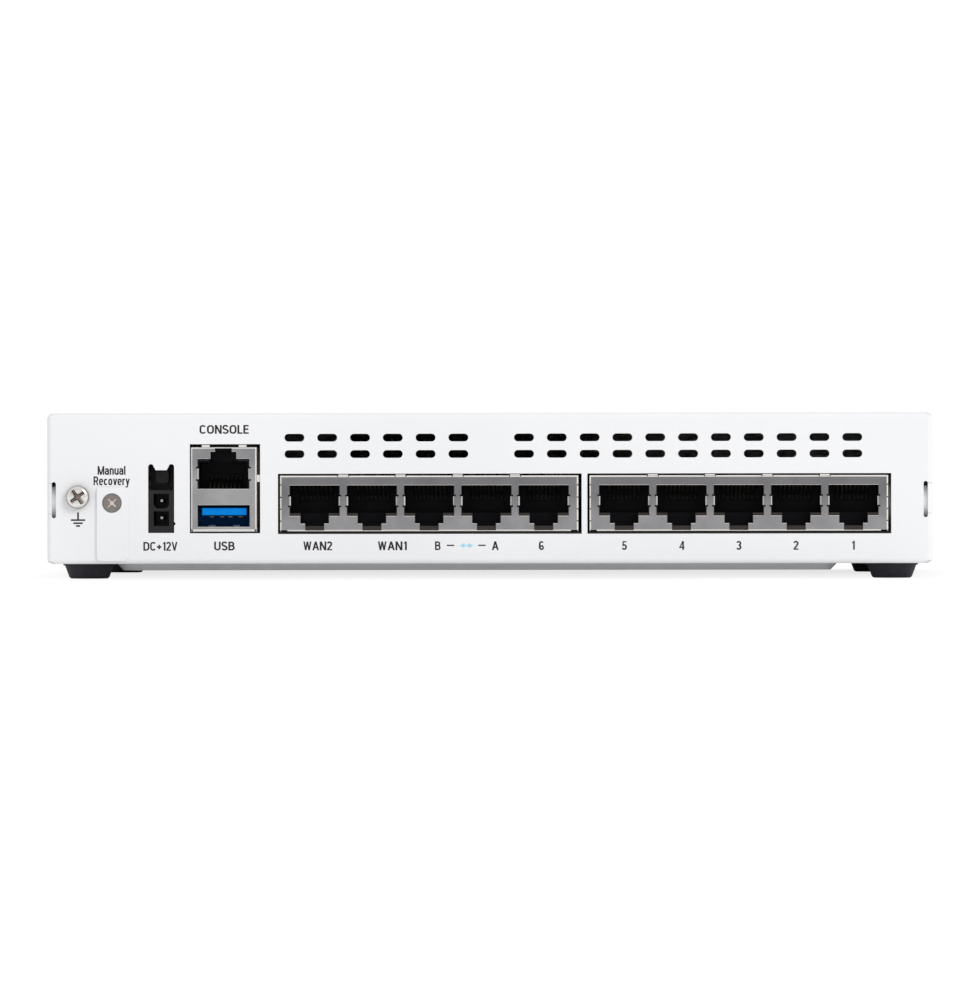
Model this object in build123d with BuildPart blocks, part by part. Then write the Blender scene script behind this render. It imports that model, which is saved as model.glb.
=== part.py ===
from build123d import *
import os

os.makedirs("parts", exist_ok=True)

# Desktop firewall appliance: a painted sheet-metal case on four feet, with every connector on the
# end panel that faces -Y and the status lights on the panel that faces +Y.
# Millimetres. Origin: centre of the footprint, on the surface that the feet stand on. +Z is up.

# --- case -------------------------------------------------------------------------------------
WIDTH = 216.0
DEPTH = 160.0
FOOT_HEIGHT = 3.7
CASE_TOP = 40.5
SHEET = 0.8
BEND_R = 1.2
SEAM = 0.2
SLIP = 0.05
HALF_WIDTH = WIDTH / 2
HALF_DEPTH = DEPTH / 2
CASE_BOTTOM = FOOT_HEIGHT
FLOOR_TOP = CASE_BOTTOM + SHEET

PAN_DEPTH = 2.4
PAN_INNER = HALF_DEPTH - SHEET
PAN_END = HALF_DEPTH - PAN_DEPTH
TONGUE_END = 72.0
FLOOR_TONGUE_X = 88.0
TOP_TONGUE_X = 95.0
SIDE_TONGUE_Z = (7.0, 36.0)
CORNER_RELIEF_X = 2.4
CORNER_RELIEF_Z = 1.0

COVER_END = PAN_END - SEAM
COVER_BOTTOM = CASE_BOTTOM + 0.3
WALL_INNER = HALF_WIDTH - SHEET
TRAY_EDGE = WALL_INNER - 0.1
TRAY_END = PAN_END - 0.1
LIP_TOP = 14.0
LIP_END = 70.0

EMBOSS_X0 = -92.0
EMBOSS_X1 = 85.3
EMBOSS_Y = 70.0
EMBOSS_DROP = 1.7
EMBOSS_R = 6.0
EMBOSS_WALL = SHEET * (2 ** 0.5)
EMBOSS_BOTTOM = CASE_BOTTOM - EMBOSS_DROP
EMBOSS_TOP = FLOOR_TOP - EMBOSS_DROP

FOOT_X = 98.6
FOOT_Y = 66.0

PANEL_SCREW_X = (-72.0, 0.0, 72.0)
PANEL_SCREW_Y = 74.6
SCREW_HOLE_R = 1.6

# --- vents ------------------------------------------------------------------------------------
VENT_LENGTH = 4.85
VENT_WIDTH = 1.9
VENT_PITCH = 8.0
VENT_FIRST_X = -47.55
VENT_COLUMNS = 18
VENT_BLANK_COLUMN = 6
VENT_ROW_Z = (34.45, 30.45)

# --- slots at each panel's ends, and the straps of the cover that bow out behind them -------------
SIDE_SLOT_X0 = 105.8
SIDE_SLOT_X1 = 106.85
SIDE_SLOT_Z0 = 14.9
SIDE_SLOT_Z1 = 23.7
STRAP_SPACE = 2.5
STRAP_SPACE_Z = (14.1, 24.0)
STRAP_X = 105.5
STRAP_Z = (15.2, 22.6)
STRAP_TIP = 79.12
STRAP_BEND = 77.7
STRAP_BACK = 74.0
SCORE_WIDTH = 0.22
SCORE_DEPTH = 0.3
SCORE_Z = (15.9, 23.3)

# --- board ------------------------------------------------------------------------------------
BOARD_THICK = 1.6
BOARD_TOP = 11.3
BOARD_BOTTOM = BOARD_TOP - BOARD_THICK
BOARD_X0 = -103.0
BOARD_X1 = 103.0
BOARD_Y0 = -78.6
BOARD_Y1 = 77.0
BOARD_CORNER_R = 2.0
STANDOFF_XY = ((-84.0, -46.0), (78.0, -46.0), (-84.0, 58.0), (78.0, 58.0), (2.0, 58.0))

# --- connectors -------------------------------------------------------------------------------
CONNECTOR_FACE = HALF_DEPTH - 0.1
CONNECTOR_BACK = 58.0
SHIELD_SHEET = 0.25
SHIELD_BEND_R = 0.45
SHIELD_LIP = 1.2
TAB_ROOT = 0.2
TAB_Y = (-79.75, -77.3)
HOUSING_FACE = CONNECTOR_FACE - SHIELD_SHEET - SLIP

PORT_PITCH = 13.97
PORTS_PER_GANG = 5
GANG_WIDTH = 72.8
GANG_Z0 = 11.6
GANG_Z1 = 25.2
GANG_CENTERS = {"left": -14.7, "right": 60.8}
GANG_CUTOUTS = ((-51.6, 22.5), (23.89, 97.93))
GANG_CUTOUT_Z = (10.95, 25.65)

# one jack seen from outside: half widths and heights of its three steps, tab side down
JACK_MAIN = (6.13, 15.33, 22.83)
JACK_STEP = (3.5, 13.48, 15.90)
JACK_TAB = (2.325, 11.79, 13.90)
JACK_LEDGE_Z = 16.04
JACK_DEPTH = 13.6
JACK_CAVITY_TOP = 22.9
# space behind the mouth for the plug's shoulder and its tab: half width, z, and what is left behind it
PLUG_SHOULDER = (3.4, 13.6, 4.5)
PLUG_TAB = (2.25, 12.9, 5.5)
COMB_HALF = 4.25
COMB_Y = (-77.2, -64.2)
COMB_TOP = 24.0
# recess in the back wall that the tips of the contacts end in
TIP_RECESS_Y = -65.0
TIP_RECESS_Z = (18.95, 22.6)
SPRING_Z = (17.9, 20.1)
CONTACTS_PER_JACK = 8
CONTACT_PITCH = 1.02
CONTACT_WIDTH = 0.45
CONTACT_BEND_Z = 20.3
CONTACT_TIP_Z = 19.2

STACK_X0 = -72.87
STACK_X1 = -56.77
STACK_Z0 = 11.52
STACK_Z1 = 32.16
STACK_CUTOUT_X = (-73.1, -55.92)
STACK_CUTOUT_Z = (11.16, 32.9)
CONSOLE_X = -64.9
CONSOLE_MIRROR_Z = 44.78
USB_X = -64.85
USB_WIDTH = 12.75
USB_Z0 = 12.72
USB_Z1 = 18.04
USB_BACK = 65.0

DC_X = -80.1
DC_CUTOUT_X0 = -83.28
DC_CUTOUT_X1 = -76.92
DC_CUTOUT_Z0 = 11.25
DC_EAR_TOP = 28.06
DC_EAR_WIDTH = 1.37
DC_TONGUE_Z = 26.57
DC_HALF = 3.0
DC_FACE = 79.5
DC_BACK = 66.0
DC_TOP = 21.67
DC_CAVITIES_Z = ((17.26, 20.82), (12.96, 16.55))
DC_CAVITY_WIDTH = 3.8
DC_PINS_Z = (19.13, 14.94)
DC_PIN = 1.07
DC_PIN_TIP = 77.4
DC_TAILS_Y = (-62.6, -64.6)

# --- fasteners and small parts on the connector panel --------------------------------------------
GROUND_X = -100.4
GROUND_Z = 20.05
GROUND_HOLE_R = 1.8
SHANK_R = 1.45
NUT_BORE_R = 1.5
PLATE_X0 = -95.9
PLATE_X1 = -88.2
PLATE_Z0 = 4.33
PLATE_Z1 = 22.48
PLATE_THICK = 0.55
PLATE_SCREW_X = -92.09
PLATE_SCREW_Z = 18.57
PLATE_HOLE_R = 2.15
SWITCH_X = -92.05
SWITCH_Z = 13.05

# --- status panel -----------------------------------------------------------------------------
LIGHT_Z = 14.6
STATE_LIGHTS_X = (88.0, 76.0, 64.0)
PORT_LIGHTS_X = tuple(41.0 - 9.0 * i for i in range(10))
LIGHT_LENGTH = 3.2
LIGHT_WIDTH = 1.5
RESET_X = -62.0
RESET_Z = 13.6
RESET_HOLE_R = 1.2


# ================================================================================================
# shared construction
# ================================================================================================
def finish(builder, name):
    """Label a finished piece and write its file."""
    builder.part.label = name
    export_step(builder.part, f"parts/{name}.step")


def block(x0, x1, y0, y1, z0, z1, mode=Mode.ADD):
    """Rectangular block between two opposite corners."""
    with Locations(((x0 + x1) / 2, (y0 + y1) / 2, (z0 + z1) / 2)):
        Box(abs(x1 - x0), abs(y1 - y0), abs(z1 - z0), mode=mode)


def rod(x, z, radius, y0, y1, mode=Mode.ADD):
    """Cylinder along Y."""
    with Locations(Location((x, (y0 + y1) / 2, z), (90, 0, 0))):
        Cylinder(radius, abs(y1 - y0), mode=mode)


def post(x, y, radius, z0, z1, mode=Mode.ADD):
    """Cylinder along Z."""
    with Locations((x, y, (z0 + z1) / 2)):
        Cylinder(radius, abs(z1 - z0), mode=mode)


def end_plane(y):
    """Plane of constant y that is drawn on in X and Z; its normal is -Y."""
    return Plane.XZ.offset(-y)


def bar(x0, x1, z0, z1, mode=Mode.ADD):
    """Rectangle between two opposite corners of a sketch."""
    with Locations(((x0 + x1) / 2, (z0 + z1) / 2)):
        Rectangle(abs(x1 - x0), abs(z1 - z0), mode=mode)


# a driver recess and a screw's point, as shares of the head's and the shank's radius
RECESS_REACH = 0.6
RECESS_ARM = 0.22
RECESS_CORE = 2.1
RECESS_TAPER = 12
POINT_SHARE = 0.3


def cut_vents(plane, centers, depth):
    """Round-ended vent slots through a sheet, long way along the plane's own x."""
    with BuildSketch(plane) as vents:
        with Locations(*centers):
            SlotOverall(VENT_LENGTH, VENT_WIDTH)
    extrude(vents.sketch, amount=depth, both=True, mode=Mode.SUBTRACT)


def cross_recess(head_top, reach, width, depth, turn):
    """Cross-shaped driver recess sunk into a head whose top is at z = head_top."""
    with BuildSketch(Plane.XY.offset(head_top)) as cross:
        with Locations(Location((0, 0, 0), (0, 0, turn))):
            Rectangle(2 * reach, width)
            Rectangle(width, 2 * reach)
            Rectangle(RECESS_CORE * width, RECESS_CORE * width, rotation=45)
    extrude(cross.sketch, amount=-depth, taper=RECESS_TAPER, mode=Mode.SUBTRACT)


def pan_screw(head_r, head_height, shank_r, shank_length, dome, turn=45, reach=RECESS_REACH, arm=RECESS_ARM):
    """Pan-head screw, head above z = 0 and shank below it."""
    with BuildPart() as screw:
        post(0, 0, head_r, 0, head_height)
        fillet(screw.edges().sort_by(Axis.Z)[-1], dome)
        post(0, 0, shank_r, -shank_length, 0)
        chamfer(screw.edges().sort_by(Axis.Z)[0], shank_r * POINT_SHARE)
        cross_recess(head_height + SLIP, head_r * reach, head_r * arm, head_height * 0.62, turn)
    return screw.part


def flat_screw(head_r, shank_r, length):
    """Countersunk screw, its flat head level with z = 0 and all of it below."""
    sink = head_r - shank_r
    with BuildPart() as screw:
        with Locations((0, 0, -sink / 2)):
            Cone(shank_r, head_r, sink)
        post(0, 0, shank_r, -length, -sink)
        chamfer(screw.edges().sort_by(Axis.Z)[0], shank_r * POINT_SHARE)
        cross_recess(SLIP, head_r * RECESS_REACH, head_r * RECESS_ARM, sink * 0.85, 45)
    return screw.part


def press_nut(outer_r, bore_r, height):
    """Round clinch nut standing on z = 0, with a knurl-free flange at its base."""
    with BuildPart() as nut:
        post(0, 0, outer_r, 0, height)
        chamfer(nut.edges().sort_by(Axis.Z)[-1], 0.3)
        post(0, 0, bore_r, -1, height + 1, mode=Mode.SUBTRACT)
    return nut.part


def jack_steps(center_x):
    """The stepped mouth of one jack, drawn on an end plane."""
    for half, z0, z1 in (JACK_MAIN, JACK_STEP, JACK_TAB):
        bar(center_x - half, center_x + half, z0, z1)


def upright(z):
    """Height in a jack whose tab side is down."""
    return z


def inverted(z):
    """The same height in the console jack, whose tab side is up."""
    return CONSOLE_MIRROR_Z - z


def jack_cavity(center_x, height):
    """Space for a plug, its tab and the spring contacts, cut out of a jack's moulding."""
    half = JACK_MAIN[0] - 0.15
    face = -HOUSING_FACE - 1
    back = -HOUSING_FACE + JACK_DEPTH
    block(center_x - half, center_x + half, face, back, height(JACK_LEDGE_Z), height(JACK_CAVITY_TOP),
          mode=Mode.SUBTRACT)
    top = JACK_LEDGE_Z + 0.5
    for half, bottom, behind in (PLUG_SHOULDER, PLUG_TAB):
        block(center_x - half, center_x + half, face, back - behind, height(bottom), height(top),
              mode=Mode.SUBTRACT)
        top = bottom + 0.3
    # comb that the contacts lie in, behind the lip of the mouth
    block(center_x - COMB_HALF, center_x + COMB_HALF, *COMB_Y, height(JACK_CAVITY_TOP - 0.5),
          height(COMB_TOP), mode=Mode.SUBTRACT)
    block(center_x - COMB_HALF, center_x + COMB_HALF, back - 0.1, TIP_RECESS_Y, height(TIP_RECESS_Z[0]),
          height(TIP_RECESS_Z[1]), mode=Mode.SUBTRACT)


def jack_contact(height):
    """One spring contact: it runs forward over the plug, folds back down and ends in the back wall."""
    path = ((-64.4, 23.75), (-76.4, 23.75), (-76.75, 23.5), (-76.45, 23.15),
            (-66.15, CONTACT_BEND_Z), (-65.6, CONTACT_TIP_Z), (-65.35, CONTACT_TIP_Z),
            (-65.95, CONTACT_BEND_Z + 0.2), (-76.0, 23.31), (-75.8, 23.45), (-64.4, 23.45))
    with BuildPart() as contact:
        with BuildSketch(Plane.YZ) as side:
            with BuildLine():
                Polyline(*[(y, height(z)) for y, z in path], close=True)
            make_face()
        extrude(side.sketch, amount=CONTACT_WIDTH / 2, both=True)
    return contact.part


def contact_places(centers):
    """X positions of the contacts of the jacks at these centres."""
    middle = (CONTACTS_PER_JACK - 1) / 2
    offsets = [(i - middle) * CONTACT_PITCH for i in range(CONTACTS_PER_JACK)]
    return [(center + offset, 0, 0) for center in centers for offset in offsets]


def gang_ports(center_x):
    """Centres of one gang's jacks."""
    return [center_x + (i - (PORTS_PER_GANG - 1) / 2) * PORT_PITCH for i in range(PORTS_PER_GANG)]


def mouth_ledges(shield, z0, z1):
    """Level front edges of a shield's mouths, between two heights."""
    front = shield.faces().sort_by(Axis.Y)[0]
    level = front.edges().filter_by(Axis.X)
    return level.filter_by_position(Axis.Z, z0, z1).filter_by(lambda edge: 1 < edge.length < PORT_PITCH)


def shield_spring(edge_x, side, z0, z1):
    """Springy tab folded in from the side of a jack's mouth; side is the way out of the mouth."""
    with BuildSketch(Plane.XY.offset(z0)) as fold:
        with BuildLine():
            Polyline((edge_x + side * 0.3, -CONNECTOR_FACE), (edge_x - side * 0.28, -CONNECTOR_FACE + 0.75),
                     (edge_x - side * 0.28, -CONNECTOR_FACE + 1.0),
                     (edge_x + side * 0.3, -CONNECTOR_FACE + SHIELD_SHEET), close=True)
        make_face()
    extrude(fold.sketch, amount=z1 - z0)


def strap_outline(facing, thick):
    """Side view of a strap: an arc towards the panel's slot, and straight legs back from it."""
    bottom = STRAP_Z[0] + thick
    top = STRAP_Z[1] - thick
    bend = facing * STRAP_BEND
    back = facing * STRAP_BACK
    with BuildLine() as outline:
        ThreePointArc((bend, bottom), (facing * (STRAP_TIP - thick), (bottom + top) / 2), (bend, top))
        Polyline((bend, top), (back, top), (back, bottom), (bend, bottom))
    make_face(outline.edges())


def side_strap(side, facing):
    """Strap lanced out of the cover's side wall and bowed out behind a panel's slot."""
    inner_side = Plane.YZ.offset(side * STRAP_X)
    to_outside = side * (HALF_WIDTH - STRAP_X)
    with BuildSketch(inner_side) as outside:
        strap_outline(facing, 0)
    extrude(outside.sketch, amount=to_outside)
    with BuildSketch(inner_side) as window:
        strap_outline(facing, SHEET)
    extrude(window.sketch, amount=to_outside, mode=Mode.SUBTRACT)
    # past the wall's end the strap stays inside the panel's flange
    block(side * (WALL_INNER - SLIP), side * (HALF_WIDTH + 1), facing * COVER_END, facing * HALF_DEPTH,
          *STRAP_Z, mode=Mode.SUBTRACT)


def end_panel(builder, facing):
    """Flanged end panel with the tongues that slide under the cover and over the tray's floor."""
    y_face = facing * HALF_DEPTH
    y_inner = facing * PAN_INNER
    y_end = facing * PAN_END
    y_tongue = facing * TONGUE_END
    block(-HALF_WIDTH, HALF_WIDTH, y_face, y_end, CASE_BOTTOM, CASE_TOP)
    outer_edges = builder.faces().sort_by(Axis.Y)[0 if facing < 0 else -1].edges()
    fillet(outer_edges, BEND_R)
    block(-WALL_INNER, WALL_INNER, y_inner, y_end - facing, FLOOR_TOP, CASE_TOP - SHEET, mode=Mode.SUBTRACT)
    # joggled tongues: over the floor, under the cover's top, inside its walls
    block(-FLOOR_TONGUE_X, FLOOR_TONGUE_X, y_inner, y_end, FLOOR_TOP, FLOOR_TOP + SLIP + SHEET)
    block(-FLOOR_TONGUE_X, FLOOR_TONGUE_X, y_inner, y_tongue, FLOOR_TOP + SLIP, FLOOR_TOP + SLIP + SHEET)
    block(-TOP_TONGUE_X, TOP_TONGUE_X, y_inner, y_end, CASE_TOP - 2 * SHEET - SLIP, CASE_TOP - SHEET)
    block(-TOP_TONGUE_X, TOP_TONGUE_X, y_inner, y_tongue, CASE_TOP - 2 * SHEET - SLIP,
          CASE_TOP - SHEET - SLIP)
    for side in (-1, 1):
        tongue_inner = side * (WALL_INNER - SHEET - SLIP)
        block(tongue_inner, side * WALL_INNER, y_inner, y_end, *SIDE_TONGUE_Z)
        block(tongue_inner, side * (WALL_INNER - SLIP), y_inner, y_tongue, *SIDE_TONGUE_Z)
        # slot through the face; behind it the tongue is open for the cover's strap
        with BuildSketch(end_plane(y_face - facing * SHEET / 2)) as slot:
            with Locations((side * (SIDE_SLOT_X0 + SIDE_SLOT_X1) / 2, (SIDE_SLOT_Z0 + SIDE_SLOT_Z1) / 2)):
                SlotOverall(SIDE_SLOT_Z1 - SIDE_SLOT_Z0, SIDE_SLOT_X1 - SIDE_SLOT_X0, rotation=90)
        extrude(slot.sketch, amount=SHEET, both=True, mode=Mode.SUBTRACT)
        block(side * (WALL_INNER - STRAP_SPACE), side * WALL_INNER, y_inner, y_tongue - facing,
              *STRAP_SPACE_Z, mode=Mode.SUBTRACT)
        # score lines from the slot round the side edge
        for z in SCORE_Z:
            block(side * SIDE_SLOT_X1, side * (HALF_WIDTH + 1), y_face, y_face - facing * SCORE_DEPTH,
                  z - SCORE_WIDTH / 2, z + SCORE_WIDTH / 2, mode=Mode.SUBTRACT)
            block(side * (HALF_WIDTH - SCORE_DEPTH), side * (HALF_WIDTH + 1), y_face, y_end,
                  z - SCORE_WIDTH / 2, z + SCORE_WIDTH / 2, mode=Mode.SUBTRACT)
        # relief where two flanges meet at a corner
        for z_corner, inward in ((CASE_TOP, -1), (CASE_BOTTOM, 1)):
            with BuildSketch(end_plane(y_face + facing)) as relief:
                with BuildLine():
                    Polyline((side * (HALF_WIDTH - CORNER_RELIEF_X), z_corner),
                             (side * (HALF_WIDTH + 1), z_corner),
                             (side * (HALF_WIDTH + 1), z_corner + inward * CORNER_RELIEF_Z),
                             (side * HALF_WIDTH, z_corner + inward * CORNER_RELIEF_Z), close=True)
                make_face()
            extrude(relief.sketch, amount=facing * (PAN_DEPTH + 2), mode=Mode.SUBTRACT)
    # holes for the screws that come up through the tray
    for x in PANEL_SCREW_X:
        post(x, facing * PANEL_SCREW_Y, SCREW_HOLE_R, FLOOR_TOP, FLOOR_TOP + 2, mode=Mode.SUBTRACT)


# ================================================================================================
# case
# ================================================================================================
COVER_SCREW_Y = 45.0
COVER_SCREW_Z = 9.5
FLAT_HEAD_R = 2.4
FLAT_SHANK_R = 1.2
KEYHOLE_X = 65.0
KEYHOLE_Y = 20.0
KEYHOLE_ENTRY_R = 3.6
KEYHOLE_SLOT_R = 1.75
KEYHOLE_SLOT_RUN = 7.5
FOOT_HOLE_R = 2.1
BOTTOM_VENT_X = [-60 + VENT_PITCH * i for i in range(15)]
BOTTOM_VENT_Y = (44, 48, 52, -34, -38, -42)
SIDE_VENT_Y = [-44 + VENT_PITCH * i for i in range(12)]
LOCK_SLOT_YZ = (58, 19)
LOCK_SLOT_SIZE = (7, 3)

with BuildPart() as base_tray:
    block(-TRAY_EDGE, TRAY_EDGE, -TRAY_END, TRAY_END, CASE_BOTTOM, FLOOR_TOP)
    for side in (-1, 1):
        block(side * (TRAY_EDGE - SHEET), side * TRAY_EDGE, -LIP_END, LIP_END, FLOOR_TOP, LIP_TOP)
    lip_corners = base_tray.edges().filter_by(Axis.X).group_by(Axis.Z)[-1]
    fillet(lip_corners, 3)
    # pressed field: a shallow tray with sloping walls
    field_center = ((EMBOSS_X0 + EMBOSS_X1) / 2, 0)
    field_width = EMBOSS_X1 - EMBOSS_X0
    with BuildSketch(Plane.XY.offset(CASE_BOTTOM)):
        with Locations(field_center):
            RectangleRounded(field_width, 2 * EMBOSS_Y, EMBOSS_R)
    extrude(amount=-EMBOSS_DROP, taper=45)
    inset = 2 * (EMBOSS_WALL - SHEET)
    with BuildSketch(Plane.XY.offset(FLOOR_TOP)):
        with Locations(field_center):
            RectangleRounded(field_width - inset, 2 * EMBOSS_Y - inset, EMBOSS_R - inset / 2)
    extrude(amount=-EMBOSS_DROP, taper=45, mode=Mode.SUBTRACT)
    # vents in the pressed field
    cut_vents(Plane.XY.offset(EMBOSS_BOTTOM), [(x, y) for x in BOTTOM_VENT_X for y in BOTTOM_VENT_Y], 2)
    # keyholes for hanging on two wall screws
    with BuildSketch(Plane.XY.offset(EMBOSS_BOTTOM - 1)):
        for x in (-KEYHOLE_X, KEYHOLE_X):
            with Locations((x, KEYHOLE_Y)):
                Circle(KEYHOLE_ENTRY_R)
            with Locations((x, KEYHOLE_Y - KEYHOLE_SLOT_RUN / 2)):
                SlotOverall(KEYHOLE_SLOT_RUN + 2 * KEYHOLE_SLOT_R, 2 * KEYHOLE_SLOT_R, rotation=90)
    extrude(amount=3, mode=Mode.SUBTRACT)
    for x in (-FOOT_X, FOOT_X):
        for y in (-FOOT_Y, FOOT_Y):
            post(x, y, FOOT_HOLE_R, CASE_BOTTOM - 1, FLOOR_TOP + 1, mode=Mode.SUBTRACT)
    for x, y in STANDOFF_XY:
        post(x, y, SCREW_HOLE_R, EMBOSS_BOTTOM - 1, EMBOSS_TOP + 1, mode=Mode.SUBTRACT)
    for x in PANEL_SCREW_X:
        for y in (-PANEL_SCREW_Y, PANEL_SCREW_Y):
            with Locations((x, y, CASE_BOTTOM + SHEET / 2)):
                Cone(FLAT_HEAD_R + SLIP, FLAT_HEAD_R + SLIP - SHEET, SHEET, mode=Mode.SUBTRACT)
    for side in (-1, 1):
        for y in (-COVER_SCREW_Y, COVER_SCREW_Y):
            with Locations(Location((side * TRAY_EDGE, y, COVER_SCREW_Z), (0, 90, 0))):
                Cylinder(SCREW_HOLE_R, 4, mode=Mode.SUBTRACT)
finish(base_tray, "base_tray")

with BuildPart() as rear_panel:
    end_panel(rear_panel, -1)
    vent_centers = [
        (VENT_FIRST_X + VENT_PITCH * i, z)
        for i in range(VENT_COLUMNS) if i != VENT_BLANK_COLUMN for z in VENT_ROW_Z
    ]
    cut_vents(end_plane(-HALF_DEPTH), vent_centers, 2)
    through = (-HALF_DEPTH - 1, -PAN_INNER + 0.5)
    for x0, x1 in GANG_CUTOUTS:
        block(x0, x1, *through, *GANG_CUTOUT_Z, mode=Mode.SUBTRACT)
    block(*STACK_CUTOUT_X, *through, *STACK_CUTOUT_Z, mode=Mode.SUBTRACT)
    # supply cutout: two round-topped ears with a tongue of sheet between them
    with BuildSketch(end_plane(-HALF_DEPTH + SHEET / 2)) as supply_cutout:
        bar(DC_CUTOUT_X0, DC_CUTOUT_X1, DC_CUTOUT_Z0, DC_TONGUE_Z + 0.7)
        for ear_x in (DC_CUTOUT_X0 + DC_EAR_WIDTH / 2, DC_CUTOUT_X1 - DC_EAR_WIDTH / 2):
            with Locations((ear_x, DC_EAR_TOP - 2)):
                SlotOverall(4, DC_EAR_WIDTH, rotation=90)
        with BuildLine():
            Polyline((DC_X - DC_EAR_WIDTH, DC_TONGUE_Z), (DC_X + DC_EAR_WIDTH, DC_TONGUE_Z),
                     (DC_CUTOUT_X1 - DC_EAR_WIDTH, DC_TONGUE_Z + 1),
                     (DC_CUTOUT_X0 + DC_EAR_WIDTH, DC_TONGUE_Z + 1), close=True)
        make_face(mode=Mode.SUBTRACT)
        with Locations((DC_CUTOUT_X1, 13.5)):
            Circle(0.35)
    extrude(amount=SHEET, both=True, mode=Mode.SUBTRACT)
    rod(GROUND_X, GROUND_Z, GROUND_HOLE_R, *through, mode=Mode.SUBTRACT)
    rod(PLATE_SCREW_X, PLATE_SCREW_Z, PLATE_HOLE_R, *through, mode=Mode.SUBTRACT)
    block(SWITCH_X - 3, SWITCH_X + 3, *through, SWITCH_Z - 1.4, SWITCH_Z + 1.4, mode=Mode.SUBTRACT)
finish(rear_panel, "rear_panel")

with BuildPart() as front_panel:
    end_panel(front_panel, 1)
    with BuildSketch(end_plane(HALF_DEPTH - SHEET / 2)):
        with Locations(*[(x, LIGHT_Z) for x in STATE_LIGHTS_X + PORT_LIGHTS_X]):
            SlotOverall(LIGHT_LENGTH, LIGHT_WIDTH)
        with Locations((RESET_X, RESET_Z)):
            Circle(RESET_HOLE_R)
    extrude(amount=SHEET, both=True, mode=Mode.SUBTRACT)
finish(front_panel, "front_panel")

with BuildPart() as top_cover:
    with BuildSketch(end_plane(-COVER_END)) as channel:
        bar(-HALF_WIDTH, HALF_WIDTH, COVER_BOTTOM, CASE_TOP)
        fillet(channel.vertices().group_by(Axis.Y)[-1], BEND_R)
        bar(-WALL_INNER, WALL_INNER, COVER_BOTTOM - 1, CASE_TOP - SHEET, mode=Mode.SUBTRACT)
    extrude(amount=-2 * COVER_END)
    side_vents = [(y, z) for y in SIDE_VENT_Y for z in VENT_ROW_Z]
    cut_vents(Plane.YZ.offset(-HALF_WIDTH), side_vents, 2)
    cut_vents(Plane.YZ.offset(HALF_WIDTH), side_vents, 2)
    for side in (-1, 1):
        for facing in (-1, 1):
            side_strap(side, facing)
        for y in (-COVER_SCREW_Y, COVER_SCREW_Y):
            screw_seat = Location((side * (HALF_WIDTH - SHEET / 2), y, COVER_SCREW_Z), (0, side * 90, 0))
            with Locations(screw_seat):
                Cone(FLAT_HEAD_R + SLIP - SHEET, FLAT_HEAD_R + SLIP, SHEET, mode=Mode.SUBTRACT)
    # anti-theft lock slot
    with BuildSketch(Plane.YZ.offset(HALF_WIDTH - SHEET / 2)):
        with Locations(LOCK_SLOT_YZ):
            RectangleRounded(*LOCK_SLOT_SIZE, 0.8)
    extrude(amount=SHEET, both=True, mode=Mode.SUBTRACT)
finish(top_cover, "top_cover")

# --- feet ---------------------------------------------------------------------------------------
FOOT_RIM_R = 6.4
FOOT_RIM = 0.5
FOOT_TOP_R = 6.0
FOOT_BASE_R = 4.8
FOOT_BASE_ROUND = 0.8
FOOT_BARB = 2.4
for y_name, y in (("rear", -FOOT_Y), ("front", FOOT_Y)):
    for x_name, x in (("left", -FOOT_X), ("right", FOOT_X)):
        with BuildPart() as foot:
            with Locations((x, y, (FOOT_HEIGHT - FOOT_RIM) / 2)):
                Cone(FOOT_BASE_R, FOOT_TOP_R, FOOT_HEIGHT - FOOT_RIM)
            fillet(foot.edges().sort_by(Axis.Z)[0], FOOT_BASE_ROUND)
            post(x, y, FOOT_RIM_R, FOOT_HEIGHT - FOOT_RIM, FOOT_HEIGHT)
            post(x, y, FOOT_HOLE_R - SLIP, FOOT_HEIGHT, FLOOR_TOP)
            with Locations((x, y, FLOOR_TOP + FOOT_BARB / 2)):
                Cone(FOOT_HOLE_R + 0.5, 1.2, FOOT_BARB)
        finish(foot, f"foot_{y_name}_{x_name}")

# --- case fasteners -----------------------------------------------------------------------------
CASE_SCREW_LENGTH = 3.8
CASE_NUT_R = 2.4
CASE_NUT_HEIGHT = 1.8
case_screw = flat_screw(FLAT_HEAD_R, FLAT_SHANK_R, CASE_SCREW_LENGTH)
case_nut = press_nut(CASE_NUT_R, FLAT_SHANK_R + SLIP, CASE_NUT_HEIGHT)

with BuildPart() as cover_screws:
    for side in (-1, 1):
        for y in (-COVER_SCREW_Y, COVER_SCREW_Y):
            with Locations(Location((side * HALF_WIDTH, y, COVER_SCREW_Z), (0, side * 90, 0))):
                add(case_screw)
finish(cover_screws, "cover_screws")

with BuildPart() as cover_nuts:
    for side in (-1, 1):
        for y in (-COVER_SCREW_Y, COVER_SCREW_Y):
            with Locations(Location((side * (TRAY_EDGE - SHEET), y, COVER_SCREW_Z), (0, -side * 90, 0))):
                add(case_nut)
finish(cover_nuts, "cover_nuts")

with BuildPart() as panel_screws:
    for x in PANEL_SCREW_X:
        for y in (-PANEL_SCREW_Y, PANEL_SCREW_Y):
            with Locations(Location((x, y, CASE_BOTTOM), (180, 0, 0))):
                add(case_screw)
finish(panel_screws, "panel_screws")

with BuildPart() as panel_nuts:
    for x in PANEL_SCREW_X:
        for y in (-PANEL_SCREW_Y, PANEL_SCREW_Y):
            with Locations((x, y, FLOOR_TOP + SLIP + SHEET)):
                add(case_nut)
finish(panel_nuts, "panel_nuts")

LABEL_THICK = 0.12
LABEL_SIZE = (76, 46)
LABEL_CENTER = (-3, 2)
with BuildPart() as underside_label:
    with BuildSketch(Plane.XY.offset(EMBOSS_BOTTOM - LABEL_THICK)):
        with Locations(LABEL_CENTER):
            RectangleRounded(*LABEL_SIZE, 2)
    extrude(amount=LABEL_THICK)
finish(underside_label, "underside_label")

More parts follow.
